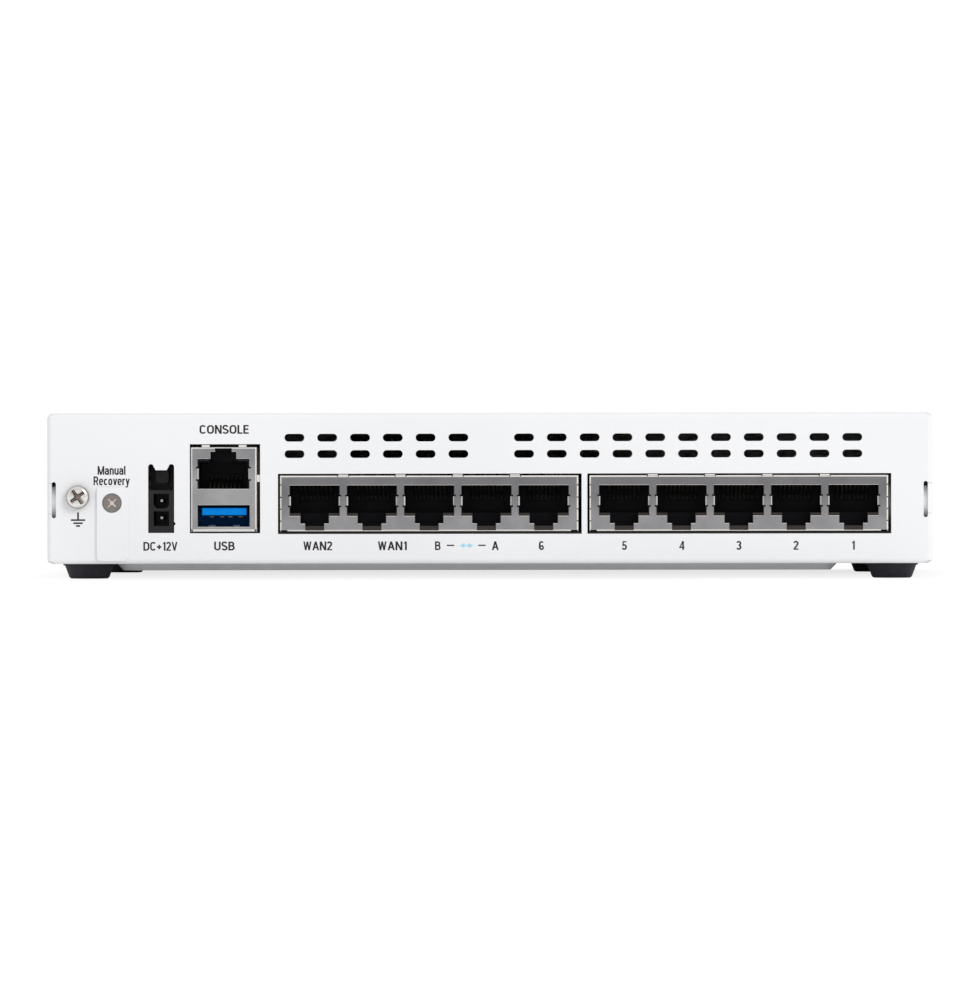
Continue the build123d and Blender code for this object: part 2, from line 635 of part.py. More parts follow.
# ================================================================================================
# board and what is soldered to it
# ================================================================================================
HEAT_SINK_X = -6.0
HEAT_SINK_Y = 8.0
HEAT_SINK_HALF_X = 40.0
HEAT_SINK_HALF_Y = 32.0
HEAT_SINK_SCREWS = [
    (HEAT_SINK_X + sx * (HEAT_SINK_HALF_X - 4), HEAT_SINK_Y + sy * (HEAT_SINK_HALF_Y - 4))
    for sx in (-1, 1) for sy in (-1, 1)
]
SINK_SCREW_HOLE_R = 1.4
SINK_SCREW_R = 1.2

with BuildPart() as main_board:
    block(BOARD_X0, BOARD_X1, BOARD_Y0, BOARD_Y1, BOARD_BOTTOM, BOARD_TOP)
    fillet(main_board.edges().filter_by(Axis.Z), BOARD_CORNER_R)
    through_board = (BOARD_BOTTOM - 1, BOARD_TOP + 1)
    for x, y in STANDOFF_XY:
        post(x, y, SCREW_HOLE_R, *through_board, mode=Mode.SUBTRACT)
    for x, y in HEAT_SINK_SCREWS:
        post(x, y, SINK_SCREW_HOLE_R, *through_board, mode=Mode.SUBTRACT)
    for y in DC_TAILS_Y:
        post(DC_X, y, 0.9, *through_board, mode=Mode.SUBTRACT)
finish(main_board, "main_board")

STANDOFF_FLAT = 5.0
with BuildPart() as standoffs:
    with BuildSketch(Plane.XY.offset(EMBOSS_TOP)):
        with Locations(*STANDOFF_XY):
            RegularPolygon(STANDOFF_FLAT / 2, 6, major_radius=False)
    extrude(amount=BOARD_BOTTOM - EMBOSS_TOP)
    with BuildSketch(Plane.XY.offset(EMBOSS_BOTTOM + SLIP)):
        with Locations(*STANDOFF_XY):
            Circle(1.55)
    extrude(amount=EMBOSS_TOP - EMBOSS_BOTTOM - SLIP)
    with BuildSketch(Plane.XY.offset(BOARD_BOTTOM)):
        with Locations(*STANDOFF_XY):
            Circle(1.5)
    extrude(amount=-5, mode=Mode.SUBTRACT)
finish(standoffs, "standoffs")

board_screw = pan_screw(head_r=2.8, head_height=1.8, shank_r=SHANK_R, shank_length=5.5, dome=0.8)
with BuildPart() as board_screws:
    with Locations(*[(x, y, BOARD_TOP) for x, y in STANDOFF_XY]):
        add(board_screw)
finish(board_screws, "board_screws")

PROCESSOR_HALF = 13.0
DIE_HALF = 9.0
PROCESSOR_TOP = BOARD_TOP + 1.8
PAD_TOP = PROCESSOR_TOP + 1.0
with BuildPart() as processor:
    block(HEAT_SINK_X - PROCESSOR_HALF, HEAT_SINK_X + PROCESSOR_HALF, HEAT_SINK_Y - PROCESSOR_HALF,
          HEAT_SINK_Y + PROCESSOR_HALF, BOARD_TOP, BOARD_TOP + 1.0)
    block(HEAT_SINK_X - DIE_HALF, HEAT_SINK_X + DIE_HALF, HEAT_SINK_Y - DIE_HALF, HEAT_SINK_Y + DIE_HALF,
          BOARD_TOP + 1.0, PROCESSOR_TOP)
finish(processor, "processor")

with BuildPart() as thermal_pad:
    block(HEAT_SINK_X - DIE_HALF, HEAT_SINK_X + DIE_HALF, HEAT_SINK_Y - DIE_HALF, HEAT_SINK_Y + DIE_HALF,
          PROCESSOR_TOP, PAD_TOP)
finish(thermal_pad, "thermal_pad")

FIN_THICK = 1.2
FIN_PITCH = 4.0
FIN_COUNT = 16
FIN_TOP = 35.5
SINK_FOOT_R = 3.0
SINK_BASE_TOP = PAD_TOP + 3.0
with BuildPart() as heat_sink:
    block(HEAT_SINK_X - HEAT_SINK_HALF_X, HEAT_SINK_X + HEAT_SINK_HALF_X, HEAT_SINK_Y - HEAT_SINK_HALF_Y,
          HEAT_SINK_Y + HEAT_SINK_HALF_Y, PAD_TOP, SINK_BASE_TOP)
    for x, y in HEAT_SINK_SCREWS:
        post(x, y, SINK_FOOT_R, BOARD_TOP, PAD_TOP)
    for i in range(FIN_COUNT):
        fin_x = HEAT_SINK_X + (i - (FIN_COUNT - 1) / 2) * FIN_PITCH
        block(fin_x - FIN_THICK / 2, fin_x + FIN_THICK / 2, HEAT_SINK_Y - HEAT_SINK_HALF_Y,
              HEAT_SINK_Y + HEAT_SINK_HALF_Y, SINK_BASE_TOP - 0.5, FIN_TOP)
    for x, y in HEAT_SINK_SCREWS:
        post(x, y, SINK_SCREW_HOLE_R, BOARD_TOP - 1, SINK_BASE_TOP + 1, mode=Mode.SUBTRACT)
finish(heat_sink, "heat_sink")

sink_screw = pan_screw(head_r=2.3, head_height=1.6, shank_r=SINK_SCREW_R,
                       shank_length=SINK_BASE_TOP - BOARD_BOTTOM + 0.8, dome=0.7)
with BuildPart() as heat_sink_screws:
    with Locations(*[(x, y, SINK_BASE_TOP) for x, y in HEAT_SINK_SCREWS]):
        add(sink_screw)
finish(heat_sink_screws, "heat_sink_screws")


LEAD_WIDTH = 0.5
LEAD_REACH = 1.0
LEAD_THICK = 0.3


def chips(centers, length, width, height, leads_per_side=0):
    """Moulded packages on the board, with gull-wing leads on two sides where they have them."""
    for x, y in centers:
        edge = y - width / 2
        block(x - length / 2, x + length / 2, edge, edge + width, BOARD_TOP + 0.1, BOARD_TOP + height)
        for i in range(leads_per_side):
            lead_x = x + (i - (leads_per_side - 1) / 2) * length / leads_per_side
            block(lead_x - LEAD_WIDTH / 2, lead_x + LEAD_WIDTH / 2, edge - LEAD_REACH,
                  edge + width + LEAD_REACH, BOARD_TOP, BOARD_TOP + LEAD_THICK)


MEMORY_XY = [(44, -2), (44, 14), (44, 30)]
FLASH_XY = [(62, 36)]
SWITCH_CHIP_XY = [(68, -8)]
TRANSFORMER_XY = [(-36, -46), (-15, -46), (6, -46), (32, -46), (53, -46)]
CAPACITOR_XY = [(-96, -54), (-96, -44), (-72, -50), (-62, -50), (-96, 20), (-96, 30)]
INDUCTOR_XY = [(-72, -32), (-58, -32), (-72, -16)]

with BuildPart() as memory_chips:
    chips(MEMORY_XY, length=13, width=9, height=1.1)
finish(memory_chips, "memory_chips")

with BuildPart() as flash_chip:
    chips(FLASH_XY, length=14, width=12, height=1.2, leads_per_side=12)
finish(flash_chip, "flash_chip")

with BuildPart() as switch_chip:
    chips(SWITCH_CHIP_XY, length=16, width=16, height=1.4, leads_per_side=16)
finish(switch_chip, "switch_chip")

with BuildPart() as lan_transformers:
    chips(TRANSFORMER_XY, length=15.5, width=11, height=5.6, leads_per_side=10)
finish(lan_transformers, "lan_transformers")

CAN_R = 4.0
CAN_TOP = BOARD_TOP + 9.0
CAN_BASE_HALF = 4.2
with BuildPart() as capacitors:
    for x, y in CAPACITOR_XY:
        block(x - CAN_BASE_HALF, x + CAN_BASE_HALF, y - CAN_BASE_HALF, y + CAN_BASE_HALF, BOARD_TOP,
              BOARD_TOP + 1)
        post(x, y, CAN_R, BOARD_TOP + 1, CAN_TOP)
    fillet(capacitors.edges().filter_by(GeomType.CIRCLE).group_by(Axis.Z)[-1], 0.5)
finish(capacitors, "capacitors")

INDUCTOR_HALF = 5.0
INDUCTOR_HEIGHT = 4.5
with BuildPart() as inductors:
    for x, y in INDUCTOR_XY:
        block(x - INDUCTOR_HALF, x + INDUCTOR_HALF, y - INDUCTOR_HALF, y + INDUCTOR_HALF, BOARD_TOP,
              BOARD_TOP + INDUCTOR_HEIGHT)
    fillet(inductors.edges().filter_by(Axis.Z), 1.5)
finish(inductors, "inductors")

CELL_X = -72.0
CELL_Y = 26.0
CELL_R = 10.0
CELL_BASE = BOARD_TOP + 1.0
CELL_THICK = 3.2
HOLDER_WALL = 1.8
HOLDER_TOP = BOARD_TOP + 4.6
with BuildPart() as coin_cell_holder:
    post(CELL_X, CELL_Y, CELL_R + 0.2 + HOLDER_WALL, BOARD_TOP, HOLDER_TOP)
    post(CELL_X, CELL_Y, CELL_R + 0.2, CELL_BASE, HOLDER_TOP + 1, mode=Mode.SUBTRACT)
    # gap in the rim for pushing the cell out
    block(CELL_X - 4, CELL_X + 4, CELL_Y - 14, CELL_Y, CELL_BASE + 1.4, HOLDER_TOP + 1, mode=Mode.SUBTRACT)
finish(coin_cell_holder, "coin_cell_holder")

with BuildPart() as coin_cell:
    post(CELL_X, CELL_Y, CELL_R, CELL_BASE, CELL_BASE + CELL_THICK)
    fillet(coin_cell.edges().filter_by(GeomType.CIRCLE), 0.4)
finish(coin_cell, "coin_cell")

# ================================================================================================
# connectors
# ================================================================================================
MOUTH_CHAMFER = 0.1
NOTCH_WIDTH = 0.4
NOTCH_HEIGHT = 0.4
EDGE_NOTCH = 0.35
EDGE_NOTCH_DEPTH = 0.8
EDGE_NOTCH_Z = (22.9, 19.9, 17.0, 14.1)
CORNER_CLIP = (1.8, 0.32)
GROUND_TAB_HALF = 1.2
for name, center_x in GANG_CENTERS.items():
    ports = gang_ports(center_x)
    x0 = center_x - GANG_WIDTH / 2
    x1 = center_x + GANG_WIDTH / 2
    with BuildPart() as rj45_shield:
        block(x0, x1, -CONNECTOR_FACE, -CONNECTOR_BACK, GANG_Z0, GANG_Z1)
        fillet(rj45_shield.faces().sort_by(Axis.Y)[0].edges(), SHIELD_BEND_R)
        # open below, except for a lip along the front
        inner_x = (x0 + SHIELD_SHEET, x1 - SHIELD_SHEET)
        block(*inner_x, -CONNECTOR_FACE + SHIELD_SHEET, -CONNECTOR_BACK - SHIELD_SHEET,
              GANG_Z0 + SHIELD_SHEET, GANG_Z1 - SHIELD_SHEET, mode=Mode.SUBTRACT)
        block(*inner_x, -CONNECTOR_FACE + SHIELD_LIP, -CONNECTOR_BACK - SHIELD_SHEET,
              GANG_Z0 - 1, GANG_Z0 + 1, mode=Mode.SUBTRACT)
        with BuildSketch(end_plane(-CONNECTOR_FACE + SHIELD_SHEET / 2)):
            for port_x in ports:
                jack_steps(port_x)
                # relief notches beside the mouth's springs
                for side in (-1, 1):
                    for z in (SPRING_Z[0] - NOTCH_HEIGHT / 2, SPRING_Z[1] + NOTCH_HEIGHT / 2):
                        with Locations((port_x + side * JACK_MAIN[0], z)):
                            Rectangle(2 * NOTCH_WIDTH, NOTCH_HEIGHT)
        extrude(amount=SHIELD_SHEET, both=True, mode=Mode.SUBTRACT)
        chamfer(mouth_ledges(rj45_shield, GANG_Z0 + 1, GANG_Z1 - 1), MOUTH_CHAMFER)
        for edge_x, inward in ((x0, 1), (x1, -1)):
            # notches down the outer edge, and the clipped lower corner
            for z in EDGE_NOTCH_Z:
                block(edge_x - inward, edge_x + inward * EDGE_NOTCH, -CONNECTOR_FACE - 1,
                      -CONNECTOR_FACE + EDGE_NOTCH_DEPTH, z - EDGE_NOTCH / 2, z + EDGE_NOTCH / 2,
                      mode=Mode.SUBTRACT)
            block(edge_x - inward, edge_x + inward * CORNER_CLIP[0], -CONNECTOR_FACE - 1,
                  -CONNECTOR_FACE + SHIELD_LIP, GANG_Z0 - 1, GANG_Z0 + CORNER_CLIP[1], mode=Mode.SUBTRACT)
        for port_x in ports:
            for side in (-1, 1):
                shield_spring(port_x + side * JACK_MAIN[0], side, *SPRING_Z)
        # grounding tabs on top, over each wall between two jacks
        for left_port in ports[:-1]:
            tab_x = left_port + PORT_PITCH / 2
            for side in (-1, 1):
                block(tab_x + side * GROUND_TAB_HALF, tab_x + side * (GROUND_TAB_HALF + SHIELD_SHEET),
                      -CONNECTOR_FACE - 1, -CONNECTOR_FACE + 3, GANG_Z1 - SHIELD_SHEET - 0.05, GANG_Z1 + 0.1,
                      mode=Mode.SUBTRACT)
            block(tab_x - GROUND_TAB_HALF, tab_x + GROUND_TAB_HALF, *TAB_Y, GANG_Z1 - TAB_ROOT,
                  GANG_CUTOUT_Z[1] - SLIP)
    finish(rj45_shield, f"rj45_shield_{name}")

    with BuildPart() as rj45_housing:
        block(inner_x[0] + SLIP, inner_x[1] - SLIP, -HOUSING_FACE, -CONNECTOR_BACK - SHIELD_SHEET - SLIP,
              BOARD_TOP + SLIP, GANG_Z1 - SHIELD_SHEET - SLIP)
        # rebate for the shield's front lip
        block(x0, x1, -HOUSING_FACE - 1, -CONNECTOR_FACE + 1.3, BOARD_TOP, GANG_Z0 + 0.3, mode=Mode.SUBTRACT)
        for port_x in ports:
            jack_cavity(port_x, upright)
            # pockets that the mouth's springs bend into
            for side in (-1, 1):
                pocket_x = port_x + side * JACK_MAIN[0]
                block(pocket_x - side * 0.5, pocket_x + side * 0.45, -HOUSING_FACE - 1, -HOUSING_FACE + 1.4,
                      SPRING_Z[0] - 0.4, SPRING_Z[1] + 0.4, mode=Mode.SUBTRACT)
    finish(rj45_housing, f"rj45_housing_{name}")

    upright_contact = jack_contact(upright)
    with BuildPart() as rj45_contacts:
        with Locations(*contact_places(ports)):
            add(upright_contact)
    finish(rj45_contacts, f"rj45_contacts_{name}")

# --- console jack stacked on the USB socket --------------------------------------------------------
STACK_TAB_X = (-69.2, -60.2)
STACK_TAB_HALF = 0.95
STACK_SIDE_TAB_Z = (23.7, 25.4)
STACK_CORNER = (0.5, 0.6)
CONSOLE_MOUTH = ((6.35, 21.99, 29.33), (3.15, 28.9, 31.06), (2.05, 30.6, STACK_Z1 - SHIELD_SHEET))
CONSOLE_SPRING_Z = (24.35, 26.96)
with BuildPart() as stack_shield:
    block(STACK_X0, STACK_X1, -CONNECTOR_FACE, -CONNECTOR_BACK, STACK_Z0, STACK_Z1)
    fillet(stack_shield.faces().sort_by(Axis.Y)[0].edges(), SHIELD_BEND_R)
    inner_x = (STACK_X0 + SHIELD_SHEET, STACK_X1 - SHIELD_SHEET)
    block(*inner_x, -CONNECTOR_FACE + SHIELD_SHEET, -CONNECTOR_BACK - SHIELD_SHEET,
          STACK_Z0 + SHIELD_SHEET, STACK_Z1 - SHIELD_SHEET, mode=Mode.SUBTRACT)
    block(*inner_x, -CONNECTOR_FACE + SHIELD_LIP, -CONNECTOR_BACK - SHIELD_SHEET,
          STACK_Z0 - 1, STACK_Z0 + 1, mode=Mode.SUBTRACT)
    with BuildSketch(end_plane(-CONNECTOR_FACE + SHIELD_SHEET / 2)):
        for half, z0, z1 in CONSOLE_MOUTH:
            bar(CONSOLE_X - half, CONSOLE_X + half, z0, z1)
        for side in (-1, 1):
            for z in (CONSOLE_SPRING_Z[0] - NOTCH_HEIGHT / 2, CONSOLE_SPRING_Z[1] + NOTCH_HEIGHT / 2):
                with Locations((CONSOLE_X + side * CONSOLE_MOUTH[0][0], z)):
                    Rectangle(2 * NOTCH_WIDTH, NOTCH_HEIGHT)
        bar(USB_X - USB_WIDTH / 2, USB_X + USB_WIDTH / 2, USB_Z0, USB_Z1)
    extrude(amount=SHIELD_SHEET, both=True, mode=Mode.SUBTRACT)
    chamfer(mouth_ledges(stack_shield, USB_Z0 - 0.5, STACK_Z1 - 1), MOUTH_CHAMFER)
    for side in (-1, 1):
        shield_spring(CONSOLE_X + side * CONSOLE_MOUTH[0][0], side, *CONSOLE_SPRING_Z)
    for tab_x in STACK_TAB_X:
        block(tab_x - STACK_TAB_HALF, tab_x + STACK_TAB_HALF, *TAB_Y, STACK_Z1 - TAB_ROOT,
              STACK_CUTOUT_Z[1] - SLIP)
    block(STACK_X1 - TAB_ROOT, STACK_CUTOUT_X[1] - SLIP, *TAB_Y, *STACK_SIDE_TAB_Z)
    # clipped lower corners of the front
    for corner_x in (STACK_X0, STACK_X1):
        block(corner_x - STACK_CORNER[0], corner_x + STACK_CORNER[0], -CONNECTOR_FACE - 1,
              -CONNECTOR_FACE + SHIELD_LIP, STACK_Z0 - 1, STACK_Z0 + STACK_CORNER[1], mode=Mode.SUBTRACT)
finish(stack_shield, "stack_shield")

STACK_SPLIT_Z = 18.9
with BuildPart() as console_housing:
    block(inner_x[0] + SLIP, inner_x[1] - SLIP, -HOUSING_FACE, -CONNECTOR_BACK - SHIELD_SHEET - SLIP,
          STACK_SPLIT_Z, STACK_Z1 - SHIELD_SHEET - SLIP)
    jack_cavity(CONSOLE_X, inverted)
    for side in (-1, 1):
        block(CONSOLE_X + side * 5.7, CONSOLE_X + side * 6.8, -HOUSING_FACE - 1, -HOUSING_FACE + 1.4,
              inverted(SPRING_Z[0] - 0.6), inverted(SPRING_Z[1] + 0.6), mode=Mode.SUBTRACT)
finish(console_housing, "console_housing")

inverted_contact = jack_contact(inverted)
with BuildPart() as console_contacts:
    with Locations(*contact_places([CONSOLE_X])):
        add(inverted_contact)
finish(console_contacts, "console_contacts")

USB_SHELL = 0.3
USB_TONGUE_Z = (15.55, 17.35)
USB_TONGUE_X = (-70.2, -59.26)
USB_CONTACT_X = (-67.8, -65.3, -63.3, -60.8)
USB_SPRING_X = (-67.8, -61.8)
USB_TONGUE_TIP = 78.9
USB_TONGUE_ROOT = 68.5
with BuildPart() as usb_shell:
    block(USB_X - USB_WIDTH / 2 - USB_SHELL, USB_X + USB_WIDTH / 2 + USB_SHELL, -HOUSING_FACE, -USB_BACK,
          USB_Z0 - USB_SHELL, USB_Z1 + USB_SHELL)
    fillet(usb_shell.edges().filter_by(Axis.Y), 0.5)
    block(USB_X - USB_WIDTH / 2, USB_X + USB_WIDTH / 2, -HOUSING_FACE - 1, -USB_BACK - USB_SHELL,
          USB_Z0, USB_Z1, mode=Mode.SUBTRACT)
    # two leaf springs pressed up out of the shell's floor
    for spring_x in USB_SPRING_X:
        with BuildSketch(Plane.YZ.offset(spring_x)):
            with BuildLine():
                Polyline((-HOUSING_FACE + 0.8, USB_Z0 - 0.1), (-HOUSING_FACE + 1.4, USB_Z0 + 0.45),
                         (-HOUSING_FACE + 2.4, USB_Z0 + 0.45), (-HOUSING_FACE + 6.5, USB_Z0 - 0.1),
                         close=True)
            make_face()
        extrude(amount=0.8, both=True)
finish(usb_shell, "usb_shell")

with BuildPart() as usb_tongue:
    block(*USB_TONGUE_X, -USB_TONGUE_TIP, -USB_TONGUE_ROOT + 0.5, *USB_TONGUE_Z)
    fillet(usb_tongue.faces().sort_by(Axis.Y)[0].edges(), 0.25)
    block(USB_X - USB_WIDTH / 2 + SLIP, USB_X + USB_WIDTH / 2 - SLIP, -USB_TONGUE_ROOT,
          -USB_BACK - USB_SHELL - SLIP, USB_Z0 + SLIP, USB_Z1 - SLIP)
finish(usb_tongue, "usb_tongue")

with BuildPart() as usb_contacts:
    for contact_x in USB_CONTACT_X:
        with BuildSketch(Plane.YZ.offset(contact_x)):
            with BuildLine():
                Polyline((-USB_TONGUE_ROOT - SLIP, 15.5), (-77.6, 15.5), (-78.3, 15.3), (-78.3, 15.12),
                         (-77.9, 15.0), (-76.2, 15.2), (-USB_TONGUE_ROOT - SLIP, 15.32), close=True)
            make_face()
        extrude(amount=0.5, both=True)
finish(usb_contacts, "usb_contacts")

# --- two-pin supply header ------------------------------------------------------------------------
DC_CAVITY_DEPTH = 9.6
DC_WALL_Y = 70.0
DC_WALL_TOP = 29.0
DC_RAMP_HALF = 1.55
DC_RAMP_Z = (23.4, 26.35)
DC_RAMP_REACH = 5.0
with BuildPart() as dc_header:
    block(DC_X - DC_HALF, DC_X + DC_HALF, -DC_FACE, -DC_BACK, BOARD_TOP + SLIP, DC_TOP)
    block(DC_X - DC_HALF, DC_X + DC_HALF, -DC_WALL_Y - 0.5, -DC_BACK, DC_TOP - 0.5, DC_WALL_TOP)
    # ramp that the plug's latch snaps over
    with BuildSketch(end_plane(-DC_WALL_Y)) as ramp:
        bar(DC_X - DC_RAMP_HALF, DC_X + DC_RAMP_HALF, *DC_RAMP_Z)
        fillet(ramp.vertices().group_by(Axis.Y)[0], 0.8)
    extrude(amount=DC_RAMP_REACH)
    for z0, z1 in DC_CAVITIES_Z:
        block(DC_X - DC_CAVITY_WIDTH / 2, DC_X + DC_CAVITY_WIDTH / 2, -DC_FACE - 1,
              -DC_FACE + DC_CAVITY_DEPTH, z0, z1, mode=Mode.SUBTRACT)
    pin_hole = DC_PIN / 2 + SLIP
    for pin_z in DC_PINS_Z:
        block(DC_X - pin_hole, DC_X + pin_hole, -DC_FACE, -DC_BACK + 1, pin_z - pin_hole, pin_z + pin_hole,
              mode=Mode.SUBTRACT)
    # the upper way is keyed by two sloping corners
    for side in (-1, 1):
        with BuildSketch(end_plane(-DC_FACE)) as key:
            corner_x = DC_X + side * DC_CAVITY_WIDTH / 2
            corner_z = DC_CAVITIES_Z[0][0]
            with BuildLine():
                Polyline((corner_x + side * 0.1, corner_z - 0.1), (corner_x + side * 0.1, corner_z + 0.85),
                         (corner_x - side * 0.85, corner_z - 0.1), close=True)
            make_face()
        extrude(key.sketch, amount=-DC_CAVITY_DEPTH)
finish(dc_header, "dc_header")

with BuildPart() as dc_pins:
    for pin_z, tail_y in zip(DC_PINS_Z, DC_TAILS_Y):
        block(DC_X - DC_PIN / 2, DC_X + DC_PIN / 2, -DC_PIN_TIP, tail_y + DC_PIN / 2, pin_z - DC_PIN / 2,
              pin_z + DC_PIN / 2)
        block(DC_X - DC_PIN / 2, DC_X + DC_PIN / 2, tail_y - DC_PIN / 2, tail_y + DC_PIN / 2,
              BOARD_BOTTOM - 1, pin_z)
    chamfer(dc_pins.edges().group_by(Axis.Y)[0], 0.25)
finish(dc_pins, "dc_pins")

# ================================================================================================
# earth screw: it turns out of its nut and carries its lock washer with it
# ================================================================================================
WASHER_THICK = 0.48
WASHER_R = 2.6
WASHER_TEETH = 14
WASHER_GAP = 0.02
WASHER_FACE = HALF_DEPTH + WASHER_GAP + WASHER_THICK
ground_screw_shape = pan_screw(head_r=2.85, head_height=1.85, shank_r=SHANK_R, shank_length=5.2, dome=1.15,
                               turn=35, reach=0.71, arm=0.27)
with BuildPart() as ground_screw:
    with Locations(Location((GROUND_X, -WASHER_FACE - WASHER_GAP, GROUND_Z), (90, 0, 0))):
        add(ground_screw_shape)
finish(ground_screw, "ground_screw")

with BuildPart() as ground_lock_washer:
    rod(GROUND_X, GROUND_Z, WASHER_R, -WASHER_FACE, -WASHER_FACE + WASHER_THICK)
    with BuildSketch(end_plane(-HALF_DEPTH)) as gaps:
        with Locations((GROUND_X, GROUND_Z)):
            with PolarLocations(WASHER_R, WASHER_TEETH):
                Rectangle(1.0, 0.35)
    extrude(gaps.sketch, amount=2, mode=Mode.SUBTRACT)
    rod(GROUND_X, GROUND_Z, NUT_BORE_R, -HALF_DEPTH - 2, -HALF_DEPTH + 1, mode=Mode.SUBTRACT)
finish(ground_lock_washer, "ground_lock_washer")

panel_nut_shape = press_nut(outer_r=2.9, bore_r=NUT_BORE_R, height=2.4)
with BuildPart() as ground_nut:
    with Locations(Location((GROUND_X, -PAN_INNER, GROUND_Z), (-90, 0, 0))):
        add(panel_nut_shape)
finish(ground_nut, "ground_nut")

# ================================================================================================
# mode switch behind its screwed cover plate
# ================================================================================================
PLATE_FACE = HALF_DEPTH + SLIP + PLATE_THICK
PLATE_HEAD_R = 2.375
with BuildPart() as switch_cover_plate:
    with BuildSketch(end_plane(-HALF_DEPTH - SLIP)):
        with Locations(((PLATE_X0 + PLATE_X1) / 2, (PLATE_Z0 + PLATE_Z1) / 2)):
            RectangleRounded(PLATE_X1 - PLATE_X0, PLATE_Z1 - PLATE_Z0, 1.1)
    extrude(amount=PLATE_THICK)
    fillet(switch_cover_plate.faces().sort_by(Axis.Y)[0].edges(), 0.2)
    screw_seat = Location((PLATE_SCREW_X, -PLATE_FACE + PLATE_THICK / 2, PLATE_SCREW_Z), (90, 0, 0))
    with Locations(screw_seat):
        Cone(PLATE_HEAD_R + SLIP - PLATE_THICK, PLATE_HEAD_R + SLIP, PLATE_THICK, mode=Mode.SUBTRACT)
finish(switch_cover_plate, "switch_cover_plate")

plate_screw_shape = flat_screw(PLATE_HEAD_R, SHANK_R, 5.0)
with BuildPart() as switch_cover_screw:
    with Locations(Location((PLATE_SCREW_X, -PLATE_FACE, PLATE_SCREW_Z), (90, 0, 0))):
        add(plate_screw_shape)
finish(switch_cover_screw, "switch_cover_screw")

with BuildPart() as switch_cover_nut:
    with Locations(Location((PLATE_SCREW_X, -PAN_INNER, PLATE_SCREW_Z), (-90, 0, 0))):
        add(panel_nut_shape)
finish(switch_cover_nut, "switch_cover_nut")

SLIDER_HALF = 0.8
SLIDER_HALF_Z = 0.7
SLIDER_TRAVEL = 2.0
SLIDER_PLAY = 0.12
SLIDER_FACE = 79.7
SWITCH_FACE = 78.4
SWITCH_BACK = 74.6
SWITCH_TOP = 15.0
with BuildPart() as mode_switch_body:
    block(SWITCH_X - 4.4, SWITCH_X + 4.4, -SWITCH_FACE, -SWITCH_BACK, BOARD_TOP + SLIP, SWITCH_TOP)
    fillet(mode_switch_body.edges().filter_by(Axis.Y), 0.3)
    space_x = SLIDER_TRAVEL / 2 + SLIDER_HALF + SLIDER_PLAY
    space_z = SLIDER_HALF_Z + SLIDER_PLAY
    block(SWITCH_X - space_x, SWITCH_X + space_x, -SWITCH_FACE - 1, -SWITCH_FACE + 1.8,
          SWITCH_Z - space_z, SWITCH_Z + space_z, mode=Mode.SUBTRACT)
finish(mode_switch_body, "mode_switch_body")

SLIDER_X = SWITCH_X - SLIDER_TRAVEL / 2
with BuildPart() as mode_switch_slider:
    block(SLIDER_X - SLIDER_HALF, SLIDER_X + SLIDER_HALF, -SLIDER_FACE, -SWITCH_FACE + 1.6,
          SWITCH_Z - SLIDER_HALF_Z, SWITCH_Z + SLIDER_HALF_Z)
    fillet(mode_switch_slider.faces().sort_by(Axis.Y)[0].edges(), 0.2)
finish(mode_switch_slider, "mode_switch_slider")

# ================================================================================================
# status panel: lights, light guides and the recessed reset button
# ================================================================================================
LIGHTS_X = STATE_LIGHTS_X + PORT_LIGHTS_X
LED_Y = 74.2
LED_HALF = 0.8
with BuildPart() as status_leds:
    for x in LIGHTS_X:
        block(x - LED_HALF, x + LED_HALF, LED_Y - 0.5, LED_Y + 0.5, BOARD_TOP, BOARD_TOP + 0.7)
finish(status_leds, "status_leds")

GUIDE_PLAY = 0.06
GUIDE_HALF = 1.2
GUIDE_BAR_Y = (75.6, 77.6)
GUIDE_FOOT = BOARD_TOP + 1.0
GUIDE_ARM = BOARD_TOP + 2.0
with BuildPart() as light_guides:
    for first, last in ((STATE_LIGHTS_X[-1], STATE_LIGHTS_X[0]), (PORT_LIGHTS_X[-1], PORT_LIGHTS_X[0])):
        block(first - 3, last + 3, *GUIDE_BAR_Y, GUIDE_ARM, LIGHT_Z + 1.8)
    with BuildSketch(end_plane(GUIDE_BAR_Y[1] - 0.6)) as tips:
        with Locations(*[(x, LIGHT_Z) for x in LIGHTS_X]):
            SlotOverall(LIGHT_LENGTH - 2 * GUIDE_PLAY, LIGHT_WIDTH - 2 * GUIDE_PLAY)
    extrude(tips.sketch, amount=-(HALF_DEPTH - GUIDE_BAR_Y[1] + 0.6 - SLIP))
    # one bent guide to each light
    for x in LIGHTS_X:
        block(x - GUIDE_HALF, x + GUIDE_HALF, LED_Y - 1.0, GUIDE_BAR_Y[0] + 0.4, GUIDE_ARM, LIGHT_Z + 1.0)
        block(x - GUIDE_HALF, x + GUIDE_HALF, LED_Y - 1.0, LED_Y + 1.0, GUIDE_FOOT, GUIDE_ARM + 0.2)
finish(light_guides, "light_guides")

PLUNGER_R = 0.95
PLUNGER_BORE_R = 1.0
PLUNGER_FACE = 77.6
RESET_BODY_HALF = 3.0
RESET_BODY_Y = (72.4, 76.0)
RESET_BODY_TOP = 15.9
with BuildPart() as reset_switch_body:
    block(RESET_X - RESET_BODY_HALF, RESET_X + RESET_BODY_HALF, *RESET_BODY_Y, BOARD_TOP + SLIP,
          RESET_BODY_TOP)
    fillet(reset_switch_body.edges().filter_by(Axis.Y), 0.3)
    rod(RESET_X, RESET_Z, PLUNGER_BORE_R, RESET_BODY_Y[0] + 1.2, RESET_BODY_Y[1] + 1, mode=Mode.SUBTRACT)
finish(reset_switch_body, "reset_switch_body")

with BuildPart() as reset_plunger:
    rod(RESET_X, RESET_Z, PLUNGER_R, 74.2, PLUNGER_FACE)
    fillet(reset_plunger.edges().sort_by(Axis.Y)[-1], 0.25)
finish(reset_plunger, "reset_plunger")
